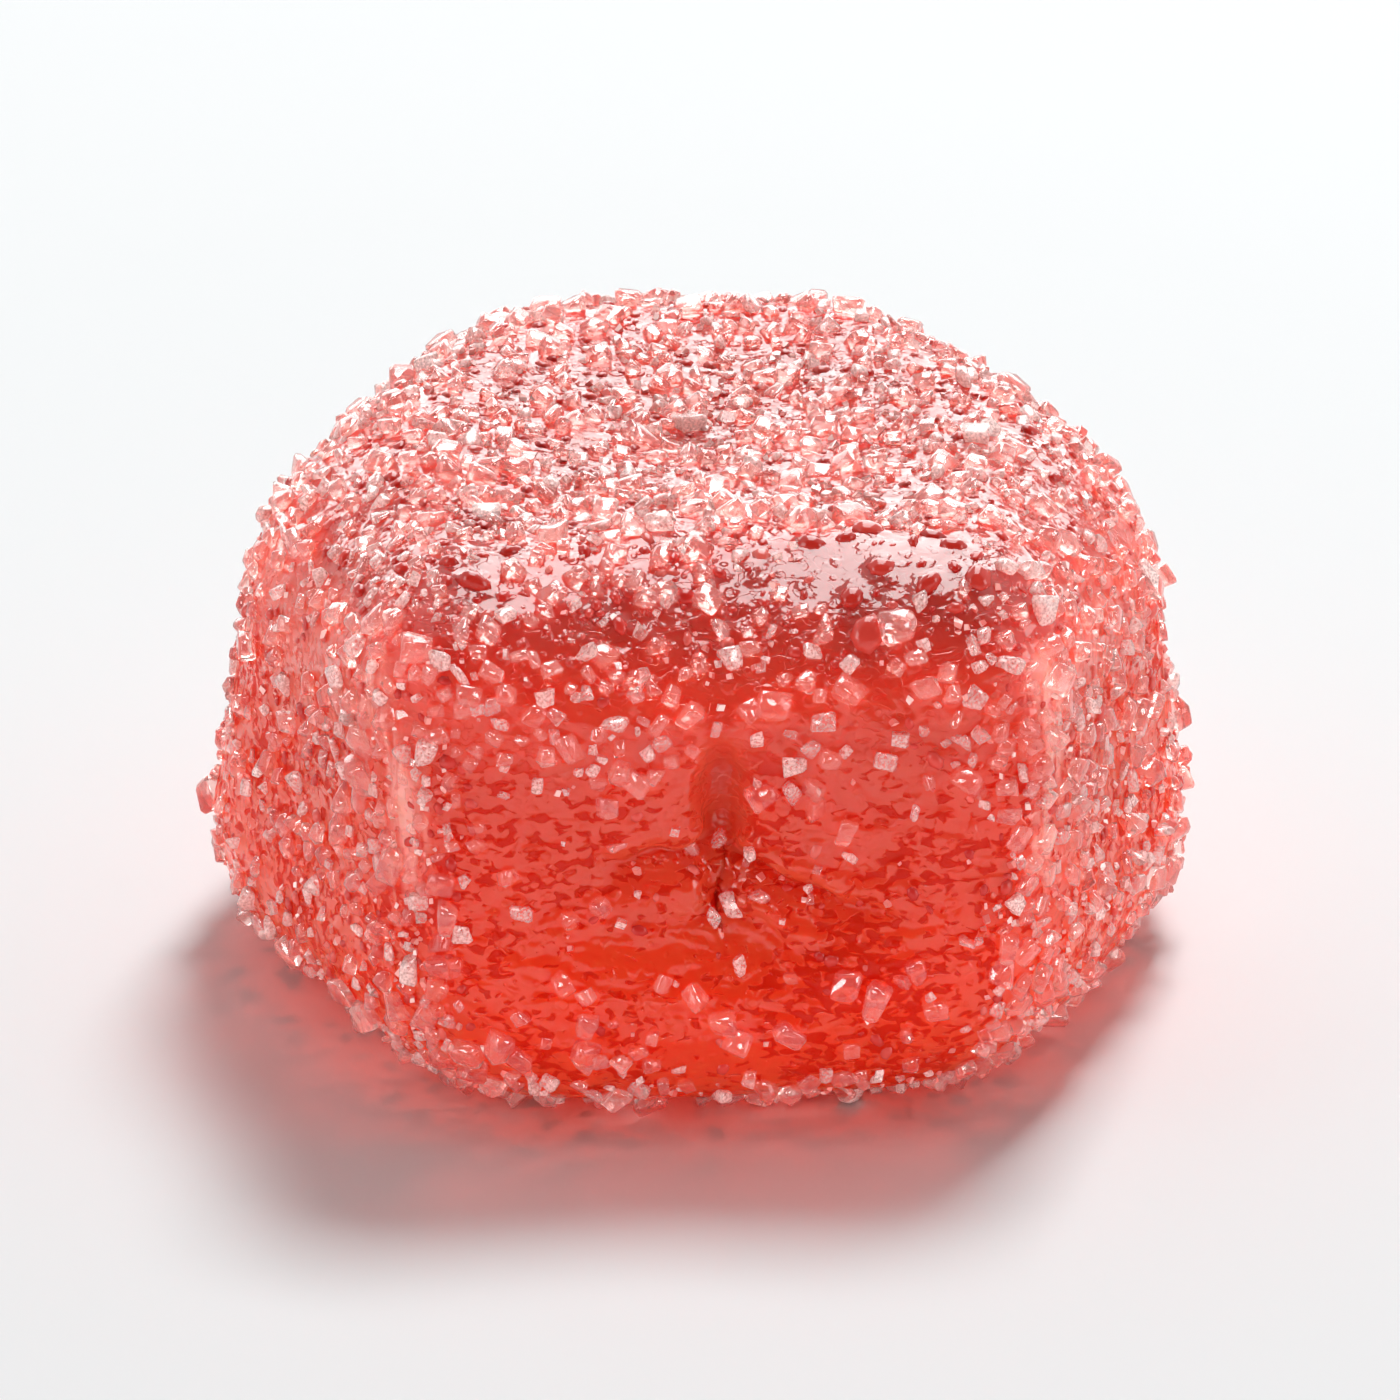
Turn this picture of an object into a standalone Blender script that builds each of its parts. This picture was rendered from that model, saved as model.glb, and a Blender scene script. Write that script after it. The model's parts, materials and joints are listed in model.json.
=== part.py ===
"""A sugared fruit gummy, one solid out to its coat of sugar.

The sweet is a plump six-sided drop that was cast foot up and has dried a little: its foot is wider
than its crown, its panels have sunk between soft upright ridges, its crown is slightly dished, and
the front panel is drawn in at a navel, with a slit above it and a fold running down on each side.
Lengths are in millimetres until the last step. +Z is up, and the front panel faces -Y.
"""
import math

import bmesh
import bpy

MM = 0.001

# The whole sweet
HEIGHT = 13.75
GEL_COLOUR = (0.80, 0.07, 0.05, 1.0)

# Plan: a hexagon with rounded corners, at the height where it is widest
SIDE_CORNER_X = 13.1
FRONT_FACE_Y = -12.45
BACK_FACE_Y = 13.5
FRONT_CORNER_X = 6.67
BACK_CORNER_X = 6.53
CORNER_SHARPNESS = 10.1
RIDGE_SPREAD = 0.35  # how much further apart the front ridges stand at the crown than at the foot

# Upright section: rounded foot, leaning wall, rounded shoulder, dished crown
FOOT_ROUND_HIGH = 3.54
FOOT_ROUND_IN = 0.213
WALL_LEAN = 0.069
SHOULDER_HIGH = 4.65
SHOULDER_IN = 0.387
RIDGE_SHOULDER_HIGH = 2.75  # the two front ridges keep a tighter shoulder
RIDGE_SHOULDER_IN = 0.28
RIDGE_SHOULDER_DEG = 17.4
SHOULDER_FULLNESS = 1.8  # 2 is an ellipse, less is nearer to a chamfer
CROWN_DISH = 0.55
UNEVEN_SHARE = (0.55, 0.9)  # shares of the radius between which the unevenness of the walls sets in

# Panels sunk between the ridges
FRONT_PANEL_SINK = 0.75
OTHER_PANEL_SINK = 0.30
SINK_MIDDLE_Z = 6.2
SINK_REACH_Z = 4.8
SINK_ROUNDNESS = 1.5  # more than 1 eases the sink in beside the ridges

# The navel of the front panel, its slit and its two folds
NAVEL_REACH_DEG = 60.0
NAVEL_Z = 7.2
NAVEL_DEPTH = 0.22
NAVEL_HALF_WIDTH = 0.7
NAVEL_HALF_HEIGHT = 1.4
SLIT_DEPTH = 0.68
SLIT_HALF_WIDTH = 0.34
SLIT_TOP_Z = 9.9
SLIT_FOOT_Z = 4.5
SLIT_TOP_FADE = 1.2
SLIT_FOOT_FADE = 1.5
FOLD_DEPTH = 0.30
FOLD_HALF_HEIGHT = 0.55
FOLD_NEAR_X = 0.5
FOLD_REACH_X = 4.6
RIGHT_FOLD_DROP = 0.50  # fall of the fold per millimetre away from the navel
LEFT_FOLD_DROP = 0.22

# Unevenness from drying: (lobes around, lobes up the height, phase, size)
WOBBLES = ((2, 0.35, 0.7, 0.05), (3, 0.5, 2.1, 0.05), (5, 0.6, 4.0, 0.04))

# Fineness of the mesh
SECTORS = 84
FRONT_CROWDING = 0.62  # columns are this much closer together at the front than on average
FOOT_RINGS = 3
FOOT_ROUND_RINGS = 6
WALL_RINGS = 15
SHOULDER_RINGS = 9
CROWN_RINGS = 6

FRONT = -math.pi / 2


def smooth_step(low, high, value):
    share = min(max((value - low) / (high - low), 0.0), 1.0)
    return share * share * (3.0 - 2.0 * share)


def from_front(angle):
    """How far a direction is turned from the front, from 0 to pi."""
    return abs((angle - FRONT + math.pi) % math.tau - math.pi)


def face_line(x1, y1, x2, y2):
    """Direction of the normal, and distance from the middle, of the wall through two corners."""
    across, along = y2 - y1, x1 - x2
    length = math.hypot(across, along)
    away = (across * x1 + along * y1) / length
    if away < 0.0:
        across, along, away = -across, -along, -away
    return math.atan2(along, across), away


def plan_corners(height_share):
    front_x = FRONT_CORNER_X * (1.0 + RIDGE_SPREAD * height_share)
    return [
        (front_x, FRONT_FACE_Y),
        (SIDE_CORNER_X, 0.0),
        (BACK_CORNER_X, BACK_FACE_Y),
        (-BACK_CORNER_X, BACK_FACE_Y),
        (-SIDE_CORNER_X, 0.0),
        (-front_x, FRONT_FACE_Y),
    ]


def plan_radius(angle, height_share):
    """Distance from the middle to the rounded hexagon in one direction."""
    corners = plan_corners(height_share)
    total = 0.0
    for here, after in zip(corners, corners[1:] + corners[:1]):
        normal, away = face_line(*here, *after)
        total += max(math.cos(angle - normal), 0.0) ** CORNER_SHARPNESS / away**CORNER_SHARPNESS
    return total ** (-1.0 / CORNER_SHARPNESS)


def panel_sink(angle, z):
    """How deep the panel in this direction has sunk between its two ridges."""
    corners = plan_corners(0.5)
    turns = [math.atan2(y, x) for x, y in corners]
    sink = 0.0
    for number, (start, end) in enumerate(zip(turns, turns[1:] + turns[:1])):
        width = (end - start) % math.tau
        across = ((angle - start) % math.tau) / width
        if across <= 1.0:
            front = number == len(turns) - 1
            depth = FRONT_PANEL_SINK if front else OTHER_PANEL_SINK
            sink = depth * math.sin(math.pi * across) ** SINK_ROUNDNESS
    reach = max(1.0 - ((z - SINK_MIDDLE_Z) / SINK_REACH_Z) ** 2, 0.0)
    return sink * reach**2


def hollow(distance, half_size):
    """A smooth dip, 1 in its middle and about a third at half_size."""
    return math.exp(-((distance / half_size) ** 2))


def navel_sink(x, z):
    """How deep the front is drawn in by the navel, its slit and its folds."""
    dimple = NAVEL_DEPTH * hollow(x, NAVEL_HALF_WIDTH) * hollow(z - NAVEL_Z, NAVEL_HALF_HEIGHT)
    foot_end = smooth_step(SLIT_FOOT_Z, SLIT_FOOT_Z + SLIT_FOOT_FADE, z)
    top_end = 1.0 - smooth_step(SLIT_TOP_Z - SLIT_TOP_FADE, SLIT_TOP_Z, z)
    slit = SLIT_DEPTH * hollow(x, SLIT_HALF_WIDTH) * foot_end * top_end
    drop = RIGHT_FOLD_DROP if x > 0.0 else LEFT_FOLD_DROP
    fold_z = NAVEL_Z - drop * abs(x)
    fold_end = 1.0 - smooth_step(FOLD_NEAR_X, FOLD_REACH_X, abs(x))
    fold = FOLD_DEPTH * hollow(z - fold_z, FOLD_HALF_HEIGHT) * fold_end
    return dimple + slit + fold


def wobble(angle, z):
    return sum(size * math.sin(around * angle + up * z + phase) for around, up, phase, size in WOBBLES)


def shoulder(angle):
    """Height and inward share of the shoulder's rounding, tighter at the two front ridges."""
    ridge_x, ridge_y = plan_corners(0.5)[0]
    from_ridge = math.degrees(from_front(angle) - math.atan2(ridge_x, -ridge_y))
    tight = hollow(from_ridge, RIDGE_SHOULDER_DEG)
    high = SHOULDER_HIGH + (RIDGE_SHOULDER_HIGH - SHOULDER_HIGH) * tight
    inward = SHOULDER_IN + (RIDGE_SHOULDER_IN - SHOULDER_IN) * tight
    return high, inward


def section(angle):
    """The upright section in one direction, from the flat of the foot to the crown: share of the plan's
    radius, and height, of each ring."""
    stations = []
    flat = 1.0 - FOOT_ROUND_IN
    for ring in range(1, FOOT_RINGS + 1):
        stations.append((flat * ring / FOOT_RINGS, 0.0))
    for ring in range(1, FOOT_ROUND_RINGS + 1):
        turn = math.pi / 2 * ring / FOOT_ROUND_RINGS
        stations.append((flat + FOOT_ROUND_IN * math.sin(turn), FOOT_ROUND_HIGH * (1.0 - math.cos(turn))))
    high, inward = shoulder(angle)
    wall_top = HEIGHT - high
    for ring in range(1, WALL_RINGS + 1):
        share = ring / WALL_RINGS
        stations.append((1.0 - WALL_LEAN * share, FOOT_ROUND_HIGH + (wall_top - FOOT_ROUND_HIGH) * share))
    top = 1.0 - WALL_LEAN
    power = 2.0 / SHOULDER_FULLNESS
    for ring in range(1, SHOULDER_RINGS + 1):
        turn = math.pi / 2 * ring / SHOULDER_RINGS
        inset = inward * (1.0 - max(math.cos(turn), 0.0) ** power)
        stations.append((top - inset, wall_top + high * math.sin(turn) ** power))
    rim = top - inward
    for ring in range(1, CROWN_RINGS + 1):
        share = 1.0 - ring / (CROWN_RINGS + 1)
        stations.append((rim * share, HEIGHT - CROWN_DISH * (1.0 - share**2)))
    return stations


def surface_point(angle, share, z):
    """A point of the sweet's skin, in millimetres."""
    height_share = z / HEIGHT
    radius = plan_radius(angle, height_share) * share
    edge = smooth_step(*UNEVEN_SHARE, share)
    radius += edge * (wobble(angle, z) - panel_sink(angle, z))
    if math.degrees(from_front(angle)) < NAVEL_REACH_DEG:
        radius -= edge * navel_sink(radius * math.cos(angle), z)
    return radius * math.cos(angle), radius * math.sin(angle), z


def column_angles():
    """Directions of the columns, crowded together at the front."""
    even = [math.tau * column / SECTORS for column in range(SECTORS)]
    return [FRONT + turn - FRONT_CROWDING * math.sin(turn) for turn in even]


def skin_mesh(name):
    """The closed skin: rings of points from the middle of the foot to the middle of the crown."""
    shape = bmesh.new()
    angles = column_angles()
    sections = [section(angle) for angle in angles]
    rings = []
    for station in range(len(sections[0])):
        points = [surface_point(angle, *upright[station]) for angle, upright in zip(angles, sections)]
        rings.append([shape.verts.new(point) for point in points])
    foot = shape.verts.new((0.0, 0.0, 0.0))
    crown = shape.verts.new((0.0, 0.0, HEIGHT - CROWN_DISH))
    for column in range(SECTORS):
        beside = (column + 1) % SECTORS
        shape.faces.new((foot, rings[0][beside], rings[0][column]))
        shape.faces.new((crown, rings[-1][column], rings[-1][beside]))
        for lower, upper in zip(rings, rings[1:]):
            shape.faces.new((lower[column], lower[beside], upper[beside], upper[column]))
    centre_on_origin(shape)
    mesh = bpy.data.meshes.new(name)
    shape.to_mesh(mesh)
    shape.free()
    mesh.shade_smooth()
    return mesh


def centre_on_origin(shape):
    """Puts the middle of the box over the origin, in metres, with the foot at height 0."""
    for axis in (0, 1):
        values = [vert.co[axis] for vert in shape.verts]
        middle = (min(values) + max(values)) / 2.0
        for vert in shape.verts:
            vert.co[axis] -= middle
    for vert in shape.verts:
        vert.co *= MM


def gel_material():
    """Red fruit gel under sugar: a moist, lightly glossy skin that lets light in."""
    material = bpy.data.materials.new("red_fruit_gel")
    material.use_nodes = True
    finish = material.node_tree.nodes["Principled BSDF"]
    finish.inputs["Base Color"].default_value = GEL_COLOUR
    finish.inputs["Roughness"].default_value = 0.25
    finish.inputs["Metallic"].default_value = 0.0
    return material


def main():
    for old in list(bpy.data.objects):
        bpy.data.objects.remove(old)
    mesh = skin_mesh("gummy")
    mesh.materials.append(gel_material())
    gummy = bpy.data.objects.new("gummy", mesh)
    bpy.context.scene.collection.objects.link(gummy)


main()
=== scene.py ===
"""The looks of a sugared fruit gummy, modelled round its solid.

The gel body is a copy of the solid's skin, made finer, drawn in by the thickness of the sugar coat and
given the fine relief of a moist gummy. Crystals and chips of sugar, and grains and drops of syrup, lie on
it: dense on the crown, heaped on the two front ridges, and sparse on the moist front panel. Sizes are in
millimetres, apart from those of the lamps and the floor, which are in metres.
"""
import itertools
import json
import math
from typing import NamedTuple

import bpy
import numpy as np
from bpy.props import FloatProperty, FloatVectorProperty, PointerProperty
from mathutils import Matrix, Vector, noise
from mathutils.kdtree import KDTree

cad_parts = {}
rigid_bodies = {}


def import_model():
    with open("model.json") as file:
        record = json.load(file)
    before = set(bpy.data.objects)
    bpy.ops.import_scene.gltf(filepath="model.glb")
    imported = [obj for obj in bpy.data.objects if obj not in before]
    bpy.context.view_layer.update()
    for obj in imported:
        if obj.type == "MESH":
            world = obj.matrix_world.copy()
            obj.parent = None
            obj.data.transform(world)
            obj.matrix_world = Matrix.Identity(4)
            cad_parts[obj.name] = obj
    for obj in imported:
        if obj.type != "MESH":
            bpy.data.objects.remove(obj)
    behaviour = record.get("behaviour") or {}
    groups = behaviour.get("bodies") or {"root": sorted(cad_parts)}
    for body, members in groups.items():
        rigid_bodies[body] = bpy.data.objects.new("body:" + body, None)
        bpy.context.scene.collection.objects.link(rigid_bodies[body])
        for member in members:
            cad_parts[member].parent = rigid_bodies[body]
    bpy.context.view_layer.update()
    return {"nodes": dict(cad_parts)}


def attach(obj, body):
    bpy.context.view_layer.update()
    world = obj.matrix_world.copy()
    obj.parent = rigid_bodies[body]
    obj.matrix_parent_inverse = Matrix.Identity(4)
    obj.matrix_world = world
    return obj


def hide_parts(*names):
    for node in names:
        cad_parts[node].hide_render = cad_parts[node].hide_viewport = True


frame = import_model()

bl_info = {
    "name": "Sugared Gummy",
    "version": (1, 0, 0),
    "blender": (4, 5, 0),
    "location": "3D View > Sidebar > Gummy",
    "description": "Builds the gel body and sugar coat of a fruit gummy, and its stage",
    "category": "Object",
}

MM = 0.001
NODE = "gummy"
FOOT_CLEARANCE = 0.20  # the gel's foot stands this high, on the crystals under it
FINE_PARTS = (  # parts of the front whose mesh is made finer in turn: half width, foot and top
    (5.6, 2.0, 11.5),
    (1.5, 4.2, 10.4),
)
CREASE_SHADE = 1.1  # share by which the navel's creases are painted in the pits' colour, as painted shade, for each millimetre of depth
WEIGHT_STEPS = 1000  # fineness of the weights in a vertex group
PLACED = []  # place and width of each crystal, grain and drop laid so far


# ---------------------------------------------------------------- colour and material helpers


def linear(hex_colour, alpha=1.0):
    """An sRGB hex colour as the linear values that shaders take."""
    channels = [int(hex_colour[i:i + 2], 16) / 255.0 for i in (1, 3, 5)]
    flat = [c / 12.92 if c <= 0.04045 else ((c + 0.055) / 1.055) ** 2.4 for c in channels]
    return (*flat, alpha)


def add_node(tree, kind, settings=None, links=None):
    """Adds a node. Settings are its properties, the stops of its colour ramp, or values of its inputs by name
    or number. Links are sockets of other nodes, by the name or number of the input that they feed."""
    node = tree.nodes.new(kind)
    for name, value in (settings or {}).items():
        if name == "stops":
            set_stops(node.color_ramp, value)
        elif isinstance(name, str) and hasattr(node, name):
            setattr(node, name, value)
        else:
            node.inputs[name].default_value = value
    for name, socket in (links or {}).items():
        tree.links.new(socket, node.inputs[name])
    return node


def set_stops(ramp, stops):
    """Gives a colour ramp its stops, each a position and a colour, the first at 0 and the last at 1."""
    for position, _ in stops[1:-1]:
        ramp.elements.new(position)
    for element, (_, colour) in zip(ramp.elements, stops):
        element.color = colour


def new_material(name):
    """An empty material, its node tree and its output node."""
    material = bpy.data.materials.new(name)
    material.use_nodes = True
    material.node_tree.nodes.clear()
    output = material.node_tree.nodes.new("ShaderNodeOutputMaterial")
    return material, material.node_tree, output


def let_lamps_through(tree, output, shader, light):
    """Lets this much of each lamp's red, green and blue pass straight through a clear piece, so that its
    shadow is light."""
    rays = add_node(tree, "ShaderNodeLightPath")
    through = add_node(tree, "ShaderNodeBsdfTransparent", {"Color": (*light, 1.0)})
    mix = add_node(tree, "ShaderNodeMixShader", {},
                   {0: rays.outputs["Is Shadow Ray"], 1: shader.outputs[0], 2: through.outputs[0]})
    tree.links.new(mix.outputs[0], output.inputs["Surface"])


# ---------------------------------------------------------------- settings


class GummyGelSettings(bpy.types.PropertyGroup):
    coat: FloatProperty(
        name="Coat", description="Thickness of the sugar coat, by which the gel is drawn in",
        default=0.26 * MM, subtype="DISTANCE", unit="LENGTH")
    light_depth: FloatProperty(
        name="Light depth", description="How far red light travels in the gel", default=7.0 * MM,
        subtype="DISTANCE", unit="LENGTH")
    # Painted shade: the gel is painted darker toward the crown than lower down
    crown_shade_colour: FloatVectorProperty(
        name="Crown colour", description="Colour of the gel in depth, at the crown",
        default=linear("#ac382f")[:3], subtype="COLOR", size=3, min=0.0, max=1.0)
    wall_colour: FloatVectorProperty(
        name="Wall colour", description="Colour of the gel in depth, below the shoulder",
        default=linear("#cd402c")[:3], subtype="COLOR", size=3, min=0.0, max=1.0)
    # Painted light: the foot's hotter orange stands in for light glowing through the gel
    foot_glow_colour: FloatVectorProperty(
        name="Foot colour", description="Colour of the gel in depth, near the foot",
        default=linear("#dd3817")[:3], subtype="COLOR", size=3, min=0.0, max=1.0)
    # Painted shade: the darker red painted into the pits and the navel's creases
    pit_shade_colour: FloatVectorProperty(
        name="Pit colour", description="Colour of the gel in its pits",
        default=linear("#bd1408")[:3], subtype="COLOR", size=3, min=0.0, max=1.0)
    # Painted reflection: the pale sheen painted down the ridges
    painted_sheen_colour: FloatVectorProperty(
        name="Sheen colour", description="Colour of the sugary film that has run down the ridges",
        default=linear("#f0a79d")[:3], subtype="COLOR", size=3, min=0.0, max=1.0)


class GummySugarSettings(bpy.types.PropertyGroup):
    coarse_size: FloatProperty(
        name="Coarse", description="Width of the coarsest crystals", default=0.64 * MM,
        subtype="DISTANCE", unit="LENGTH")
    white_size: FloatProperty(
        name="White", description="Width of the dry white crystals", default=0.40 * MM,
        subtype="DISTANCE", unit="LENGTH")
    block_size: FloatProperty(
        name="Blocks", description="Width of the usual blocky crystals", default=0.44 * MM,
        subtype="DISTANCE", unit="LENGTH")
    slab_size: FloatProperty(
        name="Slabs", description="Width of the flat crystals", default=0.44 * MM,
        subtype="DISTANCE", unit="LENGTH")
    chip_size: FloatProperty(
        name="Chips", description="Width of the broken chips", default=0.23 * MM,
        subtype="DISTANCE", unit="LENGTH")
    dust_size: FloatProperty(
        name="Dust", description="Width of the finest chips", default=0.12 * MM,
        subtype="DISTANCE", unit="LENGTH")
    bead_size: FloatProperty(
        name="Beads", description="Width of the grains that lie under the syrup", default=0.30 * MM,
        subtype="DISTANCE", unit="LENGTH")
    drop_size: FloatProperty(
        name="Drops", description="Width of the drops on the glossy patches", default=0.55 * MM,
        subtype="DISTANCE", unit="LENGTH")
    # Painted light: the crystals' pink stands in for the gel's red light coming through them
    colour: FloatVectorProperty(
        name="Colour", description="Colour of the crystals", default=linear("#fbded8")[:3],
        subtype="COLOR", size=3, min=0.0, max=1.0)


class GummyStageSettings(bpy.types.PropertyGroup):
    floor_colour: FloatVectorProperty(
        name="Floor", description="Colour of the matte floor", default=linear("#f4f6f7")[:3],
        subtype="COLOR", size=3, min=0.0, max=1.0)
    key_watts: FloatProperty(
        name="Key", description="Power of the softbox above and behind", default=1.95, unit="POWER")
    gloss_watts: FloatProperty(
        name="Gloss", description="Power of the overhead panel that only reflections show", default=1.2,
        unit="POWER")
    back_watts: FloatProperty(
        name="Back", description="Power of the low panel behind, which only reflections show", default=1.65,
        unit="POWER")
    glint_watts: FloatProperty(
        name="Glint", description="Power of the small lamp that only glints of the crystals show",
        default=3.0, unit="POWER")
    sparkle_watts: FloatProperty(
        name="Sparkle", description="Power of each small front lamp that only glints of the crystals show",
        default=0.55, unit="POWER")
    side_watts: FloatProperty(
        name="Sides", description="Power of each side panel, which only reflections show", default=0.14,
        unit="POWER")
    fill_watts: FloatProperty(
        name="Fill", description="Power of each of the two side fills, which light the sweet alone",
        default=0.44, unit="POWER")
    front_watts: FloatProperty(
        name="Front", description="Power of the front fill, which lights the sweet alone", default=0.46,
        unit="POWER")
    room: FloatProperty(
        name="Room", description="Brightness of the white room, as a share of white", default=0.56,
        subtype="FACTOR", min=0.0, max=1.0)


# ---------------------------------------------------------------- modelling helpers


def deselect_all():
    for thing in bpy.context.view_layer.objects:
        thing.select_set(False)


def make_active(thing):
    deselect_all()
    thing.select_set(True)
    bpy.context.view_layer.objects.active = thing


def apply_modifier(thing, kind, **settings):
    """Adds a modifier, sets it up and applies it."""
    make_active(thing)
    modifier = thing.modifiers.new(kind.title(), kind)
    for name, value in settings.items():
        setattr(modifier, name, value)
    bpy.ops.object.modifier_apply(modifier=modifier.name)


def vertex_places(mesh):
    """Places and normals of a mesh's points as two arrays, in millimetres and unit length."""
    places = np.zeros(len(mesh.vertices) * 3)
    normals = np.zeros(len(mesh.vertices) * 3)
    mesh.vertices.foreach_get("co", places)
    mesh.vertices.foreach_get("normal", normals)
    return places.reshape(-1, 3) / MM, normals.reshape(-1, 3)


def smooth_step(low, high, value):
    """0 below low, 1 above high, and a smooth rise between them."""
    share = np.clip((value - low) / (high - low), 0.0, 1.0)
    return share * share * (3.0 - 2.0 * share)


def band(rise, fall, value):
    """0 outside a band and 1 in it. Rise and fall are the pairs of values where it sets in and ends."""
    return smooth_step(*rise, value) * (1.0 - smooth_step(*fall, value))


def hollow(distance, half_size, power=2.0):
    """1 in the middle and about a third at half_size."""
    return np.exp(-(np.abs(distance / half_size) ** power))


def add_weights(thing, name, weights):
    """A vertex group with one weight for each point."""
    group = thing.vertex_groups.new(name=name)
    steps = np.round(weights * WEIGHT_STEPS).astype(int)
    order = np.argsort(steps, kind="stable")
    edges = np.flatnonzero(np.diff(steps[order])) + 1
    for members in np.split(order, edges):
        if steps[members[0]] > 0:
            group.add(members.tolist(), float(steps[members[0]]) / WEIGHT_STEPS, "REPLACE")
    return group


# ---------------------------------------------------------------- regions of the sweet

RIDGE_TURN = math.radians(33.0)  # how far the two front ridges are turned from the front
RIDGE_HALF_WIDTH = 1.3
PANEL_EDGE_TURN = math.radians(27.0)  # where the bare front panel gives way to the sugared ridge
PANEL_EDGE_SOFTNESS = 0.03
RIM_TURN = math.radians(29.5)  # the row of crystals that edges the panel
RIM_HALF_WIDTH = 0.9
WALL_UP = (0.35, 0.75)  # upward parts of the normal between which the wall ends
CROWN_UP = (0.45, 0.85)  # upward parts of the normal between which the crown sets in
FOOT_DOWN = (0.3, 0.8)  # downward parts of the normal between which the foot sets in

# Lines up the left and the right front ridge: height, degrees from the front, degrees gained per millimetre
COLUMN_LINES = ((5.0, 32.4, 1.1), (5.0, 30.6, 0.46))  # of the heaped crystals
COLUMN_HALF_WIDTH = 0.55
STREAK_LINES = ((7.8, 33.6, 0.87), (7.8, 34.3, 0.0))  # of the bare streak, which takes the painted sheen
STREAK_HALF_WIDTH = 0.50
STREAK_SWING = 0.22
STREAK_WAVE = 1.1  # turn of the swing, in radians for each millimetre of height

WALL_SMOOTHNESS = 0.6  # of the film on the walls, where 0 is the crown's, 1 the front panel's
PATCH_SMOOTHNESS = 2.0  # of the film in the bare patches and in the slit
BARE_PATCHES = (  # glossy patches of the shoulder with few crystals: middle, half sizes, share left bare
    (3.9, -9.3, 2.9, 1.5, 0.97),
    (-4.9, -9.6, 1.5, 0.8, 0.7),
)
BARE_PATCH_Z = (11.6, 12.2)
RICH_PATCHES = (  # heaps of crystals on the shoulder: middle, half sizes
    (2.1, -6.6, 1.4, 1.0),
    (-4.2, -7.4, 1.4, 1.0),
    (7.6, -10.2, 1.2, 1.2),
    (-8.7, -9.9, 1.2, 1.2),
)
RICH_PATCH_Z = 9.0

# The navel. A pair of pairs holds the heights between which a part of it sets in, and ends.
PANEL_SHARE = 0.3  # what belongs to the front panel by more than this is on it
SLIT_Z = ((3.6, 4.4), (10.2, 10.9))
SLIT_HALF_WIDTH = 1.3
SLIT_DROP_Z = ((6.4, 7.0), (9.8, 10.4))
SLIT_DROP_HALF_WIDTH = 0.8
VALLEY_Z = ((6.8, 7.3), (9.2, 10.0))
VALLEY_DEPTH = 0.09
VALLEY_HALF_WIDTH = 0.22
VALLEY_WIDENING = 0.24  # how much wider it is this far below its top:
VALLEY_WIDENING_Z = (9.9, 2.4)
CREASE_Z = ((4.3, 5.2), (6.5, 7.1))
CREASE_DEPTH = 0.14
CREASE_HALF_WIDTH = 0.13
CREASE_SWING = 0.09
CREASE_WAVE = 3.1
FILLED_HEIGHT = 0.22  # the solid's slit is filled this much round the crease
FILLED_HALF_WIDTH = 0.34
FOLD_RIGHT = (7.05, -0.50, 0.035)  # height of the fold, its slope and its bend, by distance from the slit
FOLD_LEFT = (6.95, 0.18, -0.08)
FOLD_SWING = 0.07
FOLD_WAVE = 5.0
FOLD_ENDS = ((0.8, 3.6), (1.6, 5.0))  # distances between which the left and the right fold fade
FOLD_START = (0.15, 0.6)  # distances from the slit between which both set in
LIP = (0.20, 0.30, 0.34)  # height, how far above the fold, half width
UNDERCUT = (0.22, -0.12, 0.20)
MOUND = (0.16, -1.05, 0.50)
MOUND_END = (1.2, 3.0)
WRINKLE_DEPTH = 0.07
WRINKLE_WAVE = (2.0, 9.0)  # across and up, in radians for each millimetre
WRINKLE_MIDDLE = (0.6, -1.3)
WRINKLE_HALF_SIZE = (1.8, 0.9)


def line_turn(x, z, lines):
    """How far a line up the left or the right ridge is turned from the front at each height."""
    height, degrees, gained = (np.where(x < 0.0, left, right) for left, right in zip(*lines))
    return np.radians(degrees + gained * (z - height))


def regions(places, normals):
    """Places, and shares from 0 to 1 by which they belong to each region of the sweet."""
    x, y, z = places.T
    turn = np.abs(np.arctan2(x, -y))
    up = normals[:, 2]
    radius = np.hypot(x, y)
    wall = 1.0 - smooth_step(*WALL_UP, up)
    edge = (PANEL_EDGE_TURN - PANEL_EDGE_SOFTNESS, PANEL_EDGE_TURN + PANEL_EDGE_SOFTNESS)
    swing = STREAK_SWING * np.sin(STREAK_WAVE * z + np.sign(x))
    from_streak = (turn - line_turn(x, z, STREAK_LINES)) * radius + swing
    from_column = (turn - line_turn(x, z, COLUMN_LINES)) * radius
    return {
        "x": x, "y": y, "z": z,
        "crown": smooth_step(*CROWN_UP, up),
        "front": (1.0 - smooth_step(*edge, turn)) * wall,
        "ridge": hollow((turn - RIDGE_TURN) * radius, RIDGE_HALF_WIDTH) * wall,
        "streak": hollow(from_streak, STREAK_HALF_WIDTH) * wall,
        "column": hollow(from_column, COLUMN_HALF_WIDTH) * wall,
        "rim": hollow((turn - RIM_TURN) * radius, RIM_HALF_WIDTH) * wall,
        "foot": smooth_step(*FOOT_DOWN, -up),
    }


def on_panel(zone):
    return zone["front"] > PANEL_SHARE


def bare_share(places, normals):
    """How smooth the film is: 0 on the crown, 1 on the front panel, up to 2 in the bare patches."""
    zone = regions(places, normals)
    smooth = np.maximum(zone["front"], WALL_SMOOTHNESS * (1.0 - zone["crown"]))
    drop = hollow(zone["x"], SLIT_DROP_HALF_WIDTH, 4.0) * band(*SLIT_DROP_Z, zone["z"]) * on_panel(zone)
    return np.maximum(smooth, PATCH_SMOOTHNESS * np.maximum(bare_patches(zone), drop))


def patch(zone, x, y, half_x, half_y):
    """1 in the middle of a patch of the shoulder."""
    return hollow(np.hypot((zone["x"] - x) / half_x, (zone["y"] - y) / half_y), 1.0, 4.0)


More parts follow.
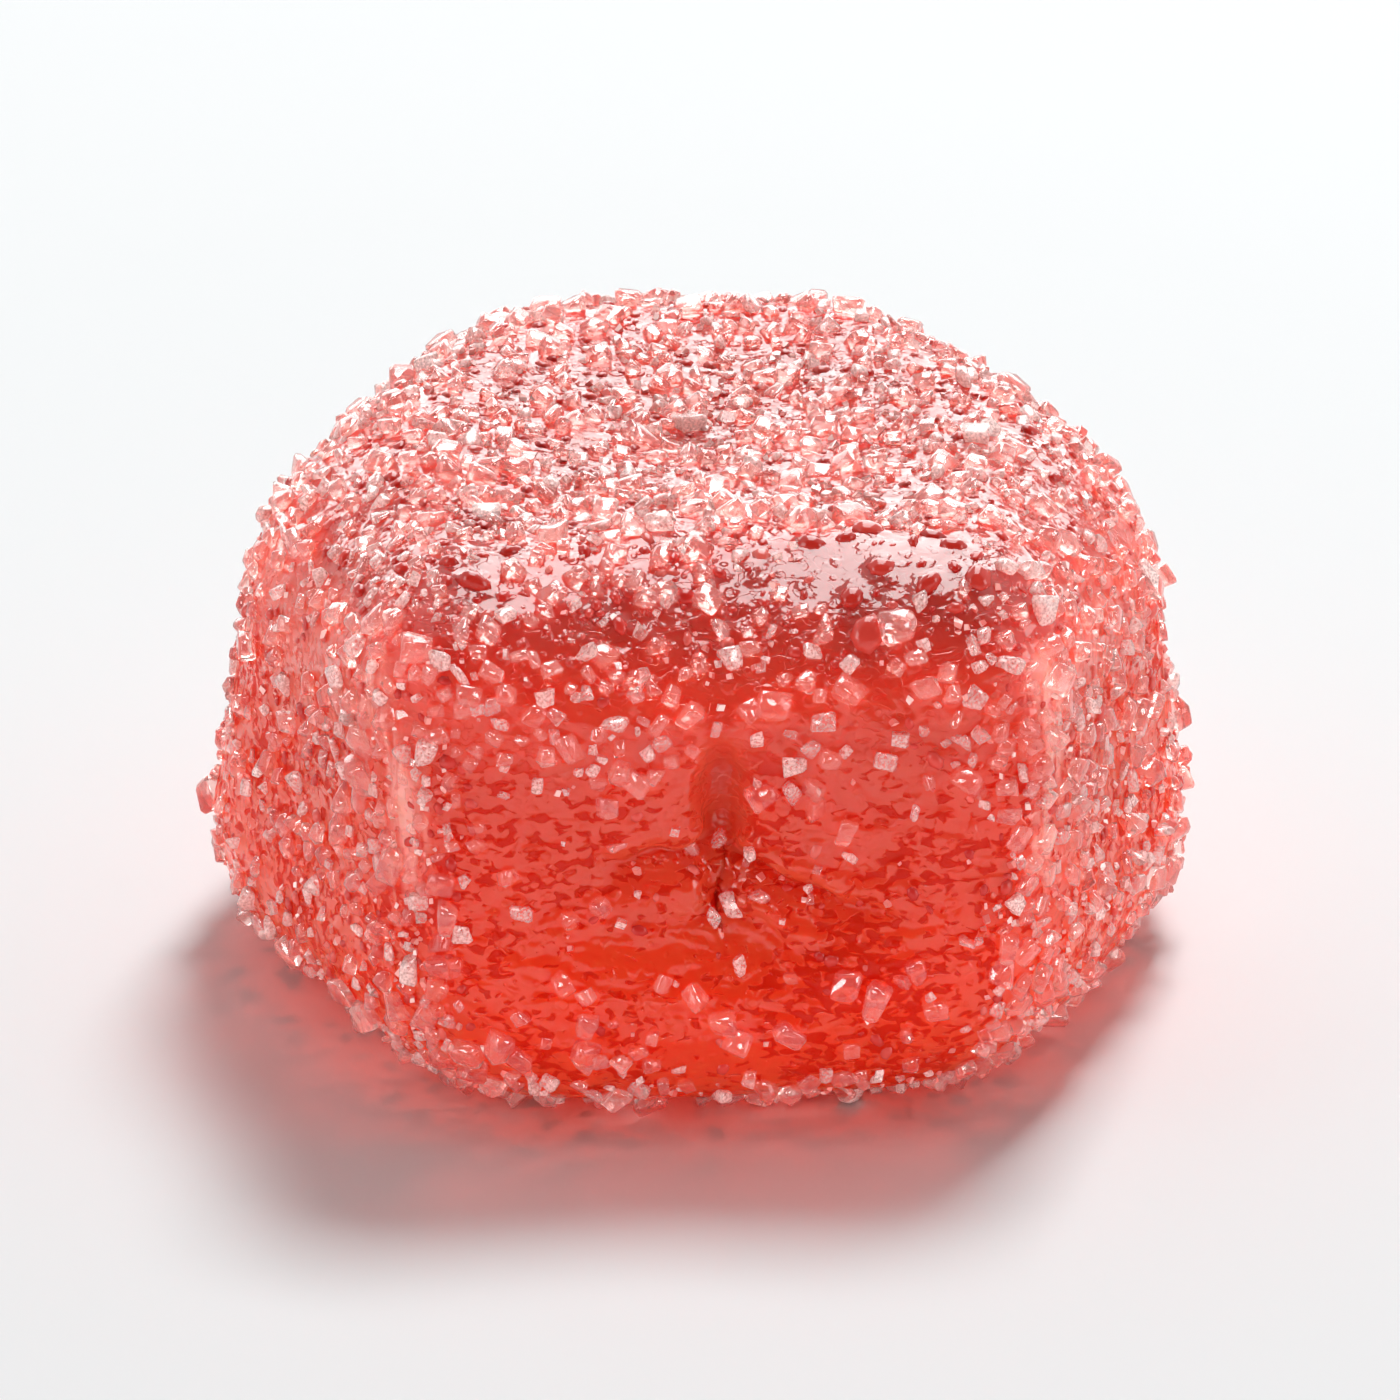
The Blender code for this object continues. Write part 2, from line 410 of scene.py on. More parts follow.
def bare_patches(zone):
    """How bare the shoulder is left: up to 1 in the middle of each bare patch."""
    bare = np.zeros(len(zone["x"]))
    for *place, share in BARE_PATCHES:
        bare = np.maximum(bare, share * patch(zone, *place) * smooth_step(*BARE_PATCH_Z, zone["z"]))
    return bare


def rich_patches(zone):
    """Where crystals lie heaped: 1 in the middle of each heap."""
    rich = np.zeros(len(zone["x"]))
    for place in RICH_PATCHES:
        rich = np.maximum(rich, patch(zone, *place) * (zone["z"] > RICH_PATCH_Z))
    return rich


def slit_share(zone):
    """1 in and close beside the slit of the front panel."""
    return hollow(zone["x"], SLIT_HALF_WIDTH, 4.0) * band(*SLIT_Z, zone["z"]) * on_panel(zone)


def navel_relief(zone):
    """How far the skin is drawn in and swollen round the navel: a smooth drop-shaped valley, a crease
    below it, and on each side a fold whose upper lip hangs over a lower mound."""
    x, z = zone["x"], zone["z"]
    top, reach = VALLEY_WIDENING_Z
    valley_half_width = VALLEY_HALF_WIDTH + VALLEY_WIDENING * np.clip((top - z) / reach, 0.0, 1.0)
    valley = VALLEY_DEPTH * hollow(x, valley_half_width, 4.0) * band(*VALLEY_Z, z)
    below = band(*CREASE_Z, z)
    crease = CREASE_DEPTH * hollow(x - CREASE_SWING * np.sin(CREASE_WAVE * z), CREASE_HALF_WIDTH) * below
    filled = FILLED_HEIGHT * hollow(x, FILLED_HALF_WIDTH) * below

    away = np.abs(x)
    start, slope, bend = (np.where(x > 0.0, right, left) for left, right in zip(FOLD_LEFT, FOLD_RIGHT))
    above = z - (start + slope * away + bend * away**2) + FOLD_SWING * np.sin(FOLD_WAVE * x)
    fade_start, fade_end = (np.where(x > 0.0, right, left) for left, right in zip(*FOLD_ENDS))
    near = smooth_step(*FOLD_START, away)
    along = (1.0 - smooth_step(fade_start, fade_end, away)) * near
    lip, undercut, mound = (
        size * hollow(above - middle, half_width) for size, middle, half_width in (LIP, UNDERCUT, MOUND))
    mound = mound * (1.0 - smooth_step(*MOUND_END, away)) * near
    waves = 0.5 + 0.5 * np.sin(WRINKLE_WAVE[1] * above + WRINKLE_WAVE[0] * x)
    beside = hollow(x - WRINKLE_MIDDLE[0], WRINKLE_HALF_SIZE[0])
    wrinkle = WRINKLE_DEPTH * waves * hollow(above - WRINKLE_MIDDLE[1], WRINKLE_HALF_SIZE[1]) * beside
    drawn_in = np.where(on_panel(zone), valley + crease + undercut * along + wrinkle, 0.0)
    swollen = np.where(on_panel(zone), lip * along + mound + filled, 0.0)
    return np.clip(drawn_in, 0.0, 1.0), np.clip(swollen, 0.0, 1.0)


# ---------------------------------------------------------------- the gel


# The film's patterns are laid out in millimetres: a scale is the number of its forms in each millimetre
MM_IN_METRE = 1.0 / MM
DRAWN_OUT = (0.76 * MM_IN_METRE, MM_IN_METRE, 1.2 * MM_IN_METRE)  # waves and pits are drawn out level
BLOB_RAGGEDNESS = 0.5
WAVE_HEIGHTS = (0.12, 0.03)  # where the film's smoothness is 1 or less, and where it is 2
LUMP_HEIGHTS = (0.080, 0.022)  # where the film's smoothness is 0, and where it is 1 or more
SMALL_LUMP_SHARE = 0.45  # height of the small lumps, as a share of the large ones'
PIT_DEPTH = 0.120
PIT_EDGE = (0.760, 0.840)  # a pit begins where the pattern passes the first, and is full at the second
PIT_GATHERING = 0.45  # how strongly slow noise gathers the pits in places
PIT_RARE_Z = (8.8, 10.0)  # heights between which pits get rare
PITS_LEFT = 0.10  # share of the pits left on the crown and in the bare patches
PIT_SHADE = 0.75  # share by which a pit is painted in the pits' colour, as painted shade
PIT_DRYNESS = 0.75  # share by which the wet gloss is missing in a pit
GEL_RISE = (3.0, 13.0)  # heights between which the gel's colour runs from the foot's painted hot glow to the crown's painted darker shade
WALL_COLOUR_AT = 0.75  # where between those heights it is the wall's
STRAND_SCALE = (2.6 * MM_IN_METRE, 2.6 * MM_IN_METRE, 0.32 * MM_IN_METRE)  # the painted sheen is combed upright
STRAND_EDGE = (0.38, 0.56)
GEL_LETS_THROUGH = (0.79, 0.2212, 0.1659)  # shares of a lamp's red, green and blue


def blobs(tree, place, per_mm, ragged, inner, outer):
    """Scattered blobs with ragged outlines: 1 inside, 0 between them."""
    cells = add_node(tree, "ShaderNodeTexVoronoi", {"Scale": per_mm, "Randomness": 1.0}, {"Vector": place})
    edge = add_node(tree, "ShaderNodeMath", {"operation": "MULTIPLY_ADD", 1: BLOB_RAGGEDNESS},
                    {0: ragged, 2: cells.outputs["Distance"]})
    middle = BLOB_RAGGEDNESS / 2.0
    shape = add_node(tree, "ShaderNodeMapRange", {
        "interpolation_type": "SMOOTHSTEP", "From Min": inner + middle, "From Max": outer + middle,
        "To Min": 1.0, "To Max": 0.0}, {"Value": edge.outputs[0]})
    return shape.outputs[0]


def gel_pits(tree, level, even, smooth, height):
    """Where grains have dissolved from the film: 1 in a pit. Few on the crown and in the bare patches."""
    slow = add_node(tree, "ShaderNodeTexNoise", {"Scale": 0.45, "Detail": 1.0, "Roughness": 0.5},
                    {"Vector": even})
    fine = add_node(tree, "ShaderNodeTexNoise", {
        "Scale": 3.7, "Detail": 1.0, "Roughness": 0.5, "Distortion": 0.6}, {"Vector": level})
    pattern = add_node(tree, "ShaderNodeMath", {"operation": "MULTIPLY_ADD", 1: PIT_GATHERING},
                       {0: slow.outputs["Fac"], 2: fine.outputs["Fac"]})
    pits = add_node(tree, "ShaderNodeMapRange", {
        "interpolation_type": "SMOOTHSTEP", "From Min": PIT_EDGE[0], "From Max": PIT_EDGE[1],
    }, {"Value": pattern.outputs[0]})
    rough = add_node(tree, "ShaderNodeMapRange", {
        "From Min": 1.0, "From Max": 2.0, "To Min": 1.0, "To Max": PITS_LEFT}, {"Value": smooth})
    low = add_node(tree, "ShaderNodeMapRange", {
        "From Min": PIT_RARE_Z[0] * MM, "From Max": PIT_RARE_Z[1] * MM, "To Min": 1.0, "To Max": PITS_LEFT,
    }, {"Value": height})
    off_patches = add_node(tree, "ShaderNodeMath", {"operation": "MULTIPLY"},
                           {0: pits.outputs[0], 1: rough.outputs[0]})
    kept = add_node(tree, "ShaderNodeMath", {"operation": "MULTIPLY"},
                    {0: off_patches.outputs[0], 1: low.outputs[0]})
    return kept.outputs[0]


def gel_relief(tree, place, height):
    """The fine relief of the wet film: waves drawn out level, lumps where grains lie under it, fewer of them
    on the front panel, and pits. Gives its normal, and the share of each place that is a pit."""
    level = add_node(tree, "ShaderNodeMapping", {"Scale": DRAWN_OUT}, {"Vector": place}).outputs[0]
    even = add_node(tree, "ShaderNodeMapping", {"Scale": (MM_IN_METRE,) * 3}, {"Vector": place}).outputs[0]
    smooth = add_node(tree, "ShaderNodeAttribute", {"attribute_name": "smoothness"}).outputs["Fac"]
    ragged = add_node(tree, "ShaderNodeTexNoise", {"Scale": 4.0, "Detail": 1.0, "Roughness": 0.5},
                      {"Vector": even}).outputs["Fac"]
    lumps = add_node(tree, "ShaderNodeMath", {"operation": "MULTIPLY_ADD", 1: SMALL_LUMP_SHARE}, {
        0: blobs(tree, even, 3.6, ragged, 0.10, 0.34), 2: blobs(tree, even, 1.7, ragged, 0.14, 0.34)})
    lump_height = add_node(tree, "ShaderNodeMapRange", {
        "From Min": 0.0, "From Max": 1.0, "To Min": LUMP_HEIGHTS[0], "To Max": LUMP_HEIGHTS[1],
    }, {"Value": smooth})
    raised = add_node(tree, "ShaderNodeMath", {"operation": "MULTIPLY"},
                      {0: lumps.outputs[0], 1: lump_height.outputs[0]})
    pits = gel_pits(tree, level, even, smooth, height)
    sunk = add_node(tree, "ShaderNodeMath", {"operation": "MULTIPLY_ADD", 1: -PIT_DEPTH},
                    {0: pits, 2: raised.outputs[0]})
    waves = add_node(tree, "ShaderNodeTexNoise", {
        "Scale": 1.5, "Detail": 1.0, "Roughness": 0.5, "Distortion": 0.5}, {"Vector": level})
    wave_height = add_node(tree, "ShaderNodeMapRange", {
        "From Min": 1.0, "From Max": 2.0, "To Min": WAVE_HEIGHTS[0], "To Max": WAVE_HEIGHTS[1],
    }, {"Value": smooth})
    total = add_node(tree, "ShaderNodeMath", {"operation": "MULTIPLY_ADD"},
                     {0: waves.outputs["Fac"], 1: wave_height.outputs[0], 2: sunk.outputs[0]})
    bump = add_node(tree, "ShaderNodeBump", {"Strength": 1.0, "Distance": MM}, {"Height": total.outputs[0]})
    return bump.outputs["Normal"], pits


def gel_colour(tree, settings, place, height, pits):
    """Painted light and shade on the gel's red: painted darker toward the crown and a painted hot glow toward
    the foot, painted shade in the pits and creases, and a painted pale sheen down the ridges."""
    rise = add_node(tree, "ShaderNodeMapRange", {
        "From Min": GEL_RISE[0] * MM, "From Max": GEL_RISE[1] * MM}, {"Value": height})
    # Painted light and shade by height: a painted hot glow at the foot, a painted darker crimson at the crown
    body = add_node(tree, "ShaderNodeValToRGB", {"stops": (
        (0.0, (*settings.foot_glow_colour, 1.0)),
        (WALL_COLOUR_AT, (*settings.wall_colour, 1.0)),
        (1.0, (*settings.crown_shade_colour, 1.0)),
    )}, {0: rise.outputs[0]})
    body.color_ramp.interpolation = "EASE"
    # Painted shade: the pits, and the navel's creases, are painted darker red
    shade = add_node(tree, "ShaderNodeMath", {"operation": "MULTIPLY", 1: PIT_SHADE}, {0: pits})
    creases = add_node(tree, "ShaderNodeAttribute", {"attribute_name": "creases"})
    deep = add_node(tree, "ShaderNodeMath", {"operation": "MAXIMUM"},
                    {0: shade.outputs[0], 1: creases.outputs["Fac"]})
    shaded_pits = add_node(tree, "ShaderNodeMix", {"data_type": "RGBA", 7: (*settings.pit_shade_colour, 1.0)},
                      {0: deep.outputs[0], 6: body.outputs["Color"]})
    # Painted sheen: pale streaks combed up the ridges stand in for a reflection
    combed = add_node(tree, "ShaderNodeMapping", {"Scale": STRAND_SCALE}, {"Vector": place})
    combing = add_node(tree, "ShaderNodeTexNoise", {"Scale": 1.0, "Detail": 2.0, "Roughness": 0.6},
                       {"Vector": combed.outputs[0]})
    strands = add_node(tree, "ShaderNodeMapRange", {"From Min": STRAND_EDGE[0], "From Max": STRAND_EDGE[1]},
                       {"Value": combing.outputs["Fac"]})
    streak = add_node(tree, "ShaderNodeAttribute", {"attribute_name": "sheen"})
    sheen = add_node(tree, "ShaderNodeMath", {"operation": "MULTIPLY"},
                     {0: streak.outputs["Fac"], 1: strands.outputs[0]})
    whole = add_node(tree, "ShaderNodeMix", {"data_type": "RGBA", 7: (*settings.painted_sheen_colour, 1.0)},
                     {0: sheen.outputs[0], 6: shaded_pits.outputs[2]})
    return whole.outputs[2]


def gel_material(settings):
    """Moist fruit gel, cast and sugared: light goes deep into it and comes back red, under a clear wet gloss
    of dissolved sugar that mirrors the lamps."""
    material, tree, output = new_material("moist_red_fruit_gel")
    place = add_node(tree, "ShaderNodeTexCoord").outputs["Object"]
    height = add_node(tree, "ShaderNodeSeparateXYZ", {}, {"Vector": place}).outputs["Z"]
    film, pits = gel_relief(tree, place, height)
    wet = add_node(tree, "ShaderNodeMath", {"operation": "MULTIPLY_ADD", 1: -PIT_DRYNESS, 2: 1.0}, {0: pits})
    shader = add_node(tree, "ShaderNodeBsdfPrincipled", {
        "Roughness": 0.2,
        "IOR": 1.45,
        "Specular IOR Level": 0.0,
        "Subsurface Weight": 1.0,
        "Subsurface Radius": (1.0, 0.13, 0.08),
        "Subsurface Scale": settings.light_depth,
        "Coat Roughness": 0.04,
        "Coat IOR": 1.6,
    }, {
        "Base Color": gel_colour(tree, settings, place, height, pits),
        "Normal": film,
        "Coat Normal": film,
        "Coat Weight": wet.outputs[0],
    })
    let_lamps_through(tree, output, shader, GEL_LETS_THROUGH)
    return material


SAME_POINT = 0.001  # points of the solid's skin that are nearer than this are one point
QUAD_BEND = math.radians(60.0)  # two triangles that bend less than this are joined
SLIT_SMOOTHING = 10  # passes that close the solid's coarse slit, before the fine one is drawn
SHEEN_Z = ((5.0, 7.0), (11.2, 12.0))  # heights between which the painted sheen on the ridges sets in, and ends
SHEEN_STRENGTH = 0.7
DENTED = 0.5  # how strongly the walls are dented, where the front panel is 1
DENTS_SMOOTHED = 0.8  # share by which the bare patches have fewer dents
DENTS = (  # relief of the dried gel: name, size of its forms, how it is drawn out, depth, where it lies
    ("swell", 2.4, (1.0, 1.0, 1.0), 0.12, ""),
    ("dent", 0.55, (1.6, 1.0, 1.0), 0.10, "dents"),
    ("streak", 0.5, (1.0, 1.0, 6.0), 0.14, "streaks"),
)


class GUMMY_OT_gel(bpy.types.Operator):
    """Make the gel body from the skin of the solid"""

    bl_idname = "gummy.gel"
    bl_label = "Gel body"

    def execute(self, context):
        settings = context.scene.gummy_gel
        PLACED.clear()
        gel = self.merged_skin()
        apply_modifier(gel, "SUBSURF", levels=2, render_levels=2)
        apply_modifier(gel, "DISPLACE", strength=-settings.coat, mid_level=0.0)
        places, normals = vertex_places(gel.data)
        add_weights(gel, "slit", slit_share(regions(places, normals)))
        apply_modifier(gel, "SMOOTH", factor=0.5, iterations=SLIT_SMOOTHING, vertex_group="slit")
        gel.vertex_groups.clear()
        for part in FINE_PARTS:
            self.refine_front(gel, *part)
        drawn_in = self.add_relief(gel)
        for vertex in gel.data.vertices:
            vertex.co.z = max(vertex.co.z, FOOT_CLEARANCE * MM)
        gel.data.shade_smooth()
        self.add_shares(gel, drawn_in)
        gel.data.materials.clear()
        gel.data.materials.append(gel_material(settings))
        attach(gel, "root")
        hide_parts(NODE)
        return {"FINISHED"}

    def merged_skin(self):
        """A copy of the solid's skin with its loose triangles joined, to model the gel from."""
        gel = bpy.data.objects.new("gel_body", frame["nodes"][NODE].data.copy())
        bpy.context.scene.collection.objects.link(gel)
        make_active(gel)
        bpy.ops.object.mode_set(mode="EDIT")
        bpy.ops.mesh.select_all(action="SELECT")
        bpy.ops.mesh.remove_doubles(threshold=SAME_POINT * MM)
        bpy.ops.mesh.tris_convert_to_quads(face_threshold=QUAD_BEND, shape_threshold=QUAD_BEND)
        bpy.ops.object.mode_set(mode="OBJECT")
        for name in ("sharp_edge", "sharp_face", "custom_normal"):
            if name in gel.data.attributes:
                gel.data.attributes.remove(gel.data.attributes[name])
        return gel

    def add_shares(self, gel, drawn_in):
        """Gives each point of the gel the shares that its material reads."""
        places, normals = vertex_places(gel.data)
        zone = regions(places, normals)
        for name, values in (
            ("smoothness", bare_share(places, normals)),
            # Painted shade in the navel's creases, darker where they are drawn in further
            ("creases", np.clip(CREASE_SHADE * drawn_in, 0.0, 1.0)),
            # Painted sheen: a pale reflection painted down the ridges
            ("sheen", SHEEN_STRENGTH * zone["streak"] * band(*SHEEN_Z, zone["z"])),
        ):
            gel.data.attributes.new(name, "FLOAT", "POINT").data.foreach_set("value", values)

    def refine_front(self, gel, half_width, foot, top):
        """Makes the mesh of a part of the front twice as fine, for the relief round the navel."""
        bpy.ops.object.mode_set(mode="EDIT")
        bpy.ops.mesh.select_mode(type="FACE")
        bpy.ops.mesh.select_all(action="DESELECT")
        bpy.ops.object.mode_set(mode="OBJECT")
        for face in gel.data.polygons:
            x, y, z = (value / MM for value in face.center)
            face.select = abs(x) < half_width and y < 0.0 and foot < z < top
        bpy.ops.object.mode_set(mode="EDIT")
        bpy.ops.mesh.subdivide(number_cuts=1, smoothness=0.0)
        bpy.ops.object.mode_set(mode="OBJECT")

    def add_relief(self, gel):
        """Draws the navel, the dents and the streaks, and gives how far the navel draws each point in."""
        zone = regions(*vertex_places(gel.data))
        drawn_in, swollen = navel_relief(zone)
        add_weights(gel, "drawn_in", drawn_in)
        add_weights(gel, "swollen", swollen)
        apply_modifier(gel, "DISPLACE", strength=-MM, mid_level=0.0, vertex_group="drawn_in")
        apply_modifier(gel, "DISPLACE", strength=MM, mid_level=0.0, vertex_group="swollen")
        dented = (1.0 - zone["foot"]) * (DENTED + (1.0 - DENTED) * zone["front"])
        add_weights(gel, "dents", dented * (1.0 - DENTS_SMOOTHED * bare_patches(zone)))
        add_weights(gel, "streaks", zone["ridge"])
        guide = bpy.data.objects.new("guide", None)
        bpy.context.scene.collection.objects.link(guide)
        for name, size, stretch, depth, group in DENTS:
            pattern = bpy.data.textures.new(name, "CLOUDS")
            pattern.noise_scale = size * MM
            guide.scale = stretch
            bpy.context.view_layer.update()
            apply_modifier(gel, "DISPLACE", strength=depth * MM, mid_level=0.5, texture=pattern,
                           texture_coords="OBJECT", texture_coords_object=guide, vertex_group=group)
        bpy.data.objects.remove(guide)
        gel.vertex_groups.clear()
        return drawn_in


SYRUP_REACH = 0.95  # how far from a crystal the gel rises, as a share of the crystal's width
SYRUP_RISE = 0.10  # for a crystal 1 mm wide


class GUMMY_OT_syrup(bpy.types.Operator):
    """Draw the wet gel up round the crystals"""

    bl_idname = "gummy.syrup"
    bl_label = "Syrup round the crystals"

    def execute(self, context):
        gel = bpy.data.objects["gel_body"]
        places, _ = vertex_places(gel.data)
        tree = KDTree(len(places))
        for index, place in enumerate(places):
            tree.insert(place, index)
        tree.balance()
        rise = np.zeros(len(places))
        for spot, size in PLACED:
            reach = SYRUP_REACH * size
            for _, index, distance in tree.find_range(spot, reach):
                share = 1.0 - (distance / reach) ** 2
                rise[index] = max(rise[index], size * share * share)
        add_weights(gel, "rise", np.minimum(rise, 1.0))
        apply_modifier(gel, "DISPLACE", strength=SYRUP_RISE * MM, mid_level=0.0, vertex_group="rise")
        gel.vertex_groups.clear()
        return {"FINISHED"}


# ---------------------------------------------------------------- the sugar


SCRATCHES_PER_MM = 1.0 / 0.07
SCRATCH_DEPTH = 0.012
FROST_PER_CRYSTAL = (0.5, 1.5)  # the least and the most frosted crystal, as shares of the usual frost
FROST_PER_PLACE = (0.55, 1.45)  # the same from place to place on one crystal
CRYSTAL_ROUGHNESS = (0.06, 0.34)  # where a crystal is clear, and where it is all frosted
LIGHT_THROUGH = 0.65  # share of a lamp's light that the clear crystals let through
MIDDLE_TINT_AT = 0.55  # share of the grains that are darker than the middle tint


def sugar_material(settings, name, frost, through=0.0):
    """Granulated sugar: chipped crystals, some clear and some frosted by scratches, which show the red gel
    under them and flash where a face catches a lamp."""
    material, tree, output = new_material(name)
    place = add_node(tree, "ShaderNodeTexCoord").outputs["Object"]
    own = add_node(tree, "ShaderNodeNewGeometry").outputs["Random Per Island"]
    scratches = add_node(tree, "ShaderNodeTexNoise", {
        "Scale": SCRATCHES_PER_MM / MM, "Detail": 2.0, "Roughness": 0.6}, {"Vector": place}).outputs["Fac"]
    base = add_node(tree, "ShaderNodeMapRange", {
        "To Min": FROST_PER_CRYSTAL[0] * frost, "To Max": FROST_PER_CRYSTAL[1] * frost}, {"Value": own})
    patch = add_node(tree, "ShaderNodeMapRange", {
        "From Min": 0.35, "From Max": 0.65, "To Min": FROST_PER_PLACE[0], "To Max": FROST_PER_PLACE[1],
    }, {"Value": scratches})
    cloudy = add_node(tree, "ShaderNodeMath", {"operation": "MULTIPLY", "use_clamp": True},
                      {0: base.outputs[0], 1: patch.outputs[0]})
    clear = add_node(tree, "ShaderNodeMath", {"operation": "SUBTRACT", 0: 1.0}, {1: cloudy.outputs[0]})
    rough = add_node(tree, "ShaderNodeMapRange", {
        "To Min": CRYSTAL_ROUGHNESS[0], "To Max": CRYSTAL_ROUGHNESS[1]}, {"Value": cloudy.outputs[0]})
    bump = add_node(tree, "ShaderNodeBump", {"Strength": 0.35, "Distance": SCRATCH_DEPTH * MM},
                    {"Height": scratches})
    # The pink base colour is painted red light from the gel under the crystals
    shader = add_node(tree, "ShaderNodeBsdfPrincipled", {
        "Base Color": (*settings.colour, 1.0),
        "IOR": 1.54,
    }, {
        "Roughness": rough.outputs[0],
        "Transmission Weight": clear.outputs[0],
        "Normal": bump.outputs["Normal"],
    })
    if through:
        let_lamps_through(tree, output, shader, (through, through, through))
    else:
        tree.links.new(shader.outputs[0], output.inputs["Surface"])
    return material


def tinted_material(name, dark, middle, pale, roughness):
    """Grains, each with its own tint between the red of the gel and the white of dry sugar."""
    material, tree, output = new_material(name)
    own = add_node(tree, "ShaderNodeNewGeometry").outputs["Random Per Island"]
    tint = add_node(tree, "ShaderNodeValToRGB", {
        "stops": ((0.0, linear(dark)), (MIDDLE_TINT_AT, linear(middle)), (1.0, linear(pale))),
    }, {0: own})
    shader = add_node(tree, "ShaderNodeBsdfPrincipled", {"Roughness": roughness, "IOR": 1.5},
                      {"Base Color": tint.outputs["Color"]})
    tree.links.new(shader.outputs[0], output.inputs["Surface"])
    return material


# Shapes are about 1 unit across; each pair holds the least and the most
CRYSTAL_WIDE = (0.62, 0.95)
CRYSTAL_THICK = (0.5, 0.85)
SLAB_THICK = (0.35, 0.6)
SIDE_TILT = 0.14  # deviation of a side from square, in radians
SIDE_REACH = (0.85, 1.1)
CHIP_REACH = (0.72, 0.92)  # how far out a corner is cut off, as a share of the corner's own distance
GRAIN_UNEVENNESS = 0.10
GRAIN_LONG = 1.25
GRAIN_WIDE = (0.7, 1.05)
GRAIN_THICK = (0.55, 0.85)
GRAIN_CUT = 0.06  # how far under its middle a grain is cut off


def crystal_shape(rng, chips, worn, thick=CRYSTAL_THICK):
    """One crystal: a block cut from six uneven sides, with chipped corners and edges worn by some width."""
    deselect_all()
    bpy.ops.mesh.primitive_cube_add(size=2.0, location=(0.0, 0.0, 0.0))
    crystal = bpy.context.active_object
    bpy.ops.object.mode_set(mode="EDIT")
    half = (0.5, 0.5 * rng.uniform(*CRYSTAL_WIDE), 0.5 * rng.uniform(*thick))
    for axis in (0, 1, 2):
        for side in (-1.0, 1.0):
            way = Vector(rng.normal(0.0, SIDE_TILT, 3))
            way[axis] = side
            cut_away(way.normalized(), half[axis] * rng.uniform(*SIDE_REACH))
    for _ in range(chips):
        way = Vector(rng.normal(size=3)).normalized()
        corner = sum(abs(way[axis]) * half[axis] for axis in (0, 1, 2))
        cut_away(way, corner * rng.uniform(*CHIP_REACH))
    if worn:
        bpy.ops.mesh.select_all(action="SELECT")
        bpy.ops.mesh.bevel(offset=worn, segments=1, affect="EDGES", clamp_overlap=True)
        bpy.ops.mesh.select_all(action="SELECT")
        bpy.ops.mesh.vertices_smooth(factor=0.5, repeat=1)
    return finished_shape(crystal)


def cut_away(way, reach):
    """Cuts off what lies beyond a plane, at the given reach from the middle, and closes the cut."""
    bpy.ops.mesh.select_all(action="SELECT")
    bpy.ops.mesh.bisect(plane_co=way * reach, plane_no=way, use_fill=True, clear_outer=True)


def bead_shape(rng):
    """One grain under syrup, or drop of it: an uneven low dome without an underside."""
    deselect_all()
    bpy.ops.mesh.primitive_uv_sphere_add(segments=7, ring_count=5, radius=0.5, location=(0.0, 0.0, 0.0))
    bead = bpy.context.active_object
    bpy.ops.object.mode_set(mode="EDIT")
    bpy.ops.mesh.select_all(action="SELECT")
    bpy.ops.transform.vertex_random(offset=GRAIN_UNEVENNESS, uniform=0.6, seed=int(rng.integers(1, 1000)))
    bpy.ops.mesh.vertices_smooth(factor=0.3)
    bpy.ops.transform.resize(value=(GRAIN_LONG, rng.uniform(*GRAIN_WIDE), rng.uniform(*GRAIN_THICK)))
    cut_away(Vector((0.0, 0.0, -1.0)), GRAIN_CUT)
    return finished_shape(bead, centred=False)


def finished_shape(thing, centred=True):
    """The points and the triangles of a modelled shape, which is then removed."""
    bpy.ops.mesh.select_all(action="SELECT")
    bpy.ops.mesh.quads_convert_to_tris()
    bpy.ops.object.mode_set(mode="OBJECT")
    mesh = thing.data
    points = np.array([vertex.co for vertex in mesh.vertices])
    faces = np.array([face.vertices for face in mesh.polygons])
    bpy.data.objects.remove(thing)
    bpy.data.meshes.remove(mesh)
    return (points - points.mean(0) if centred else points), in_fixed_order(faces)


def in_fixed_order(triangles):
    """Triangles sorted by their points, because the modelling tools leave them in no fixed order."""
    lowest = triangles.argmin(1)[:, None]
    turned = np.take_along_axis(triangles, (lowest + np.arange(3)) % 3, 1)
    return turned[np.lexsort(turned.T[::-1])]


def skin_samples(gel, rng, per_mm2, density):
    """Random places on the gel, so many for each square millimetre where density is 1: places and normals."""
    mesh = gel.data
    mesh.calc_loop_triangles()
    corners = np.zeros(len(mesh.loop_triangles) * 3, int)
    mesh.loop_triangles.foreach_get("vertices", corners)
    corners = corners.reshape(-1, 3)
    places, normals = vertex_places(mesh)
    wanted = density(places, normals)
    a, b, c = (places[corners[:, i]] for i in range(3))
    areas = np.linalg.norm(np.cross(b - a, c - a), axis=1) / 2.0
    share = areas * wanted[corners].mean(1)
    amount = int(per_mm2 * share.sum())
    picked = rng.choice(len(corners), size=amount, p=share / share.sum())
    u, v = rng.random(amount), rng.random(amount)
    flip = u + v > 1.0
    u[flip], v[flip] = 1.0 - u[flip], 1.0 - v[flip]
    weights = np.stack([1.0 - u - v, u, v], 1)[:, :, None]
    spot = (places[corners[picked]] * weights).sum(1)
    normal = (normals[corners[picked]] * weights).sum(1)
    return spot, normal / np.linalg.norm(normal, axis=1)[:, None]


CELL = 0.9  # width of a cell: crystals that might touch are in the same cell or in two beside each other


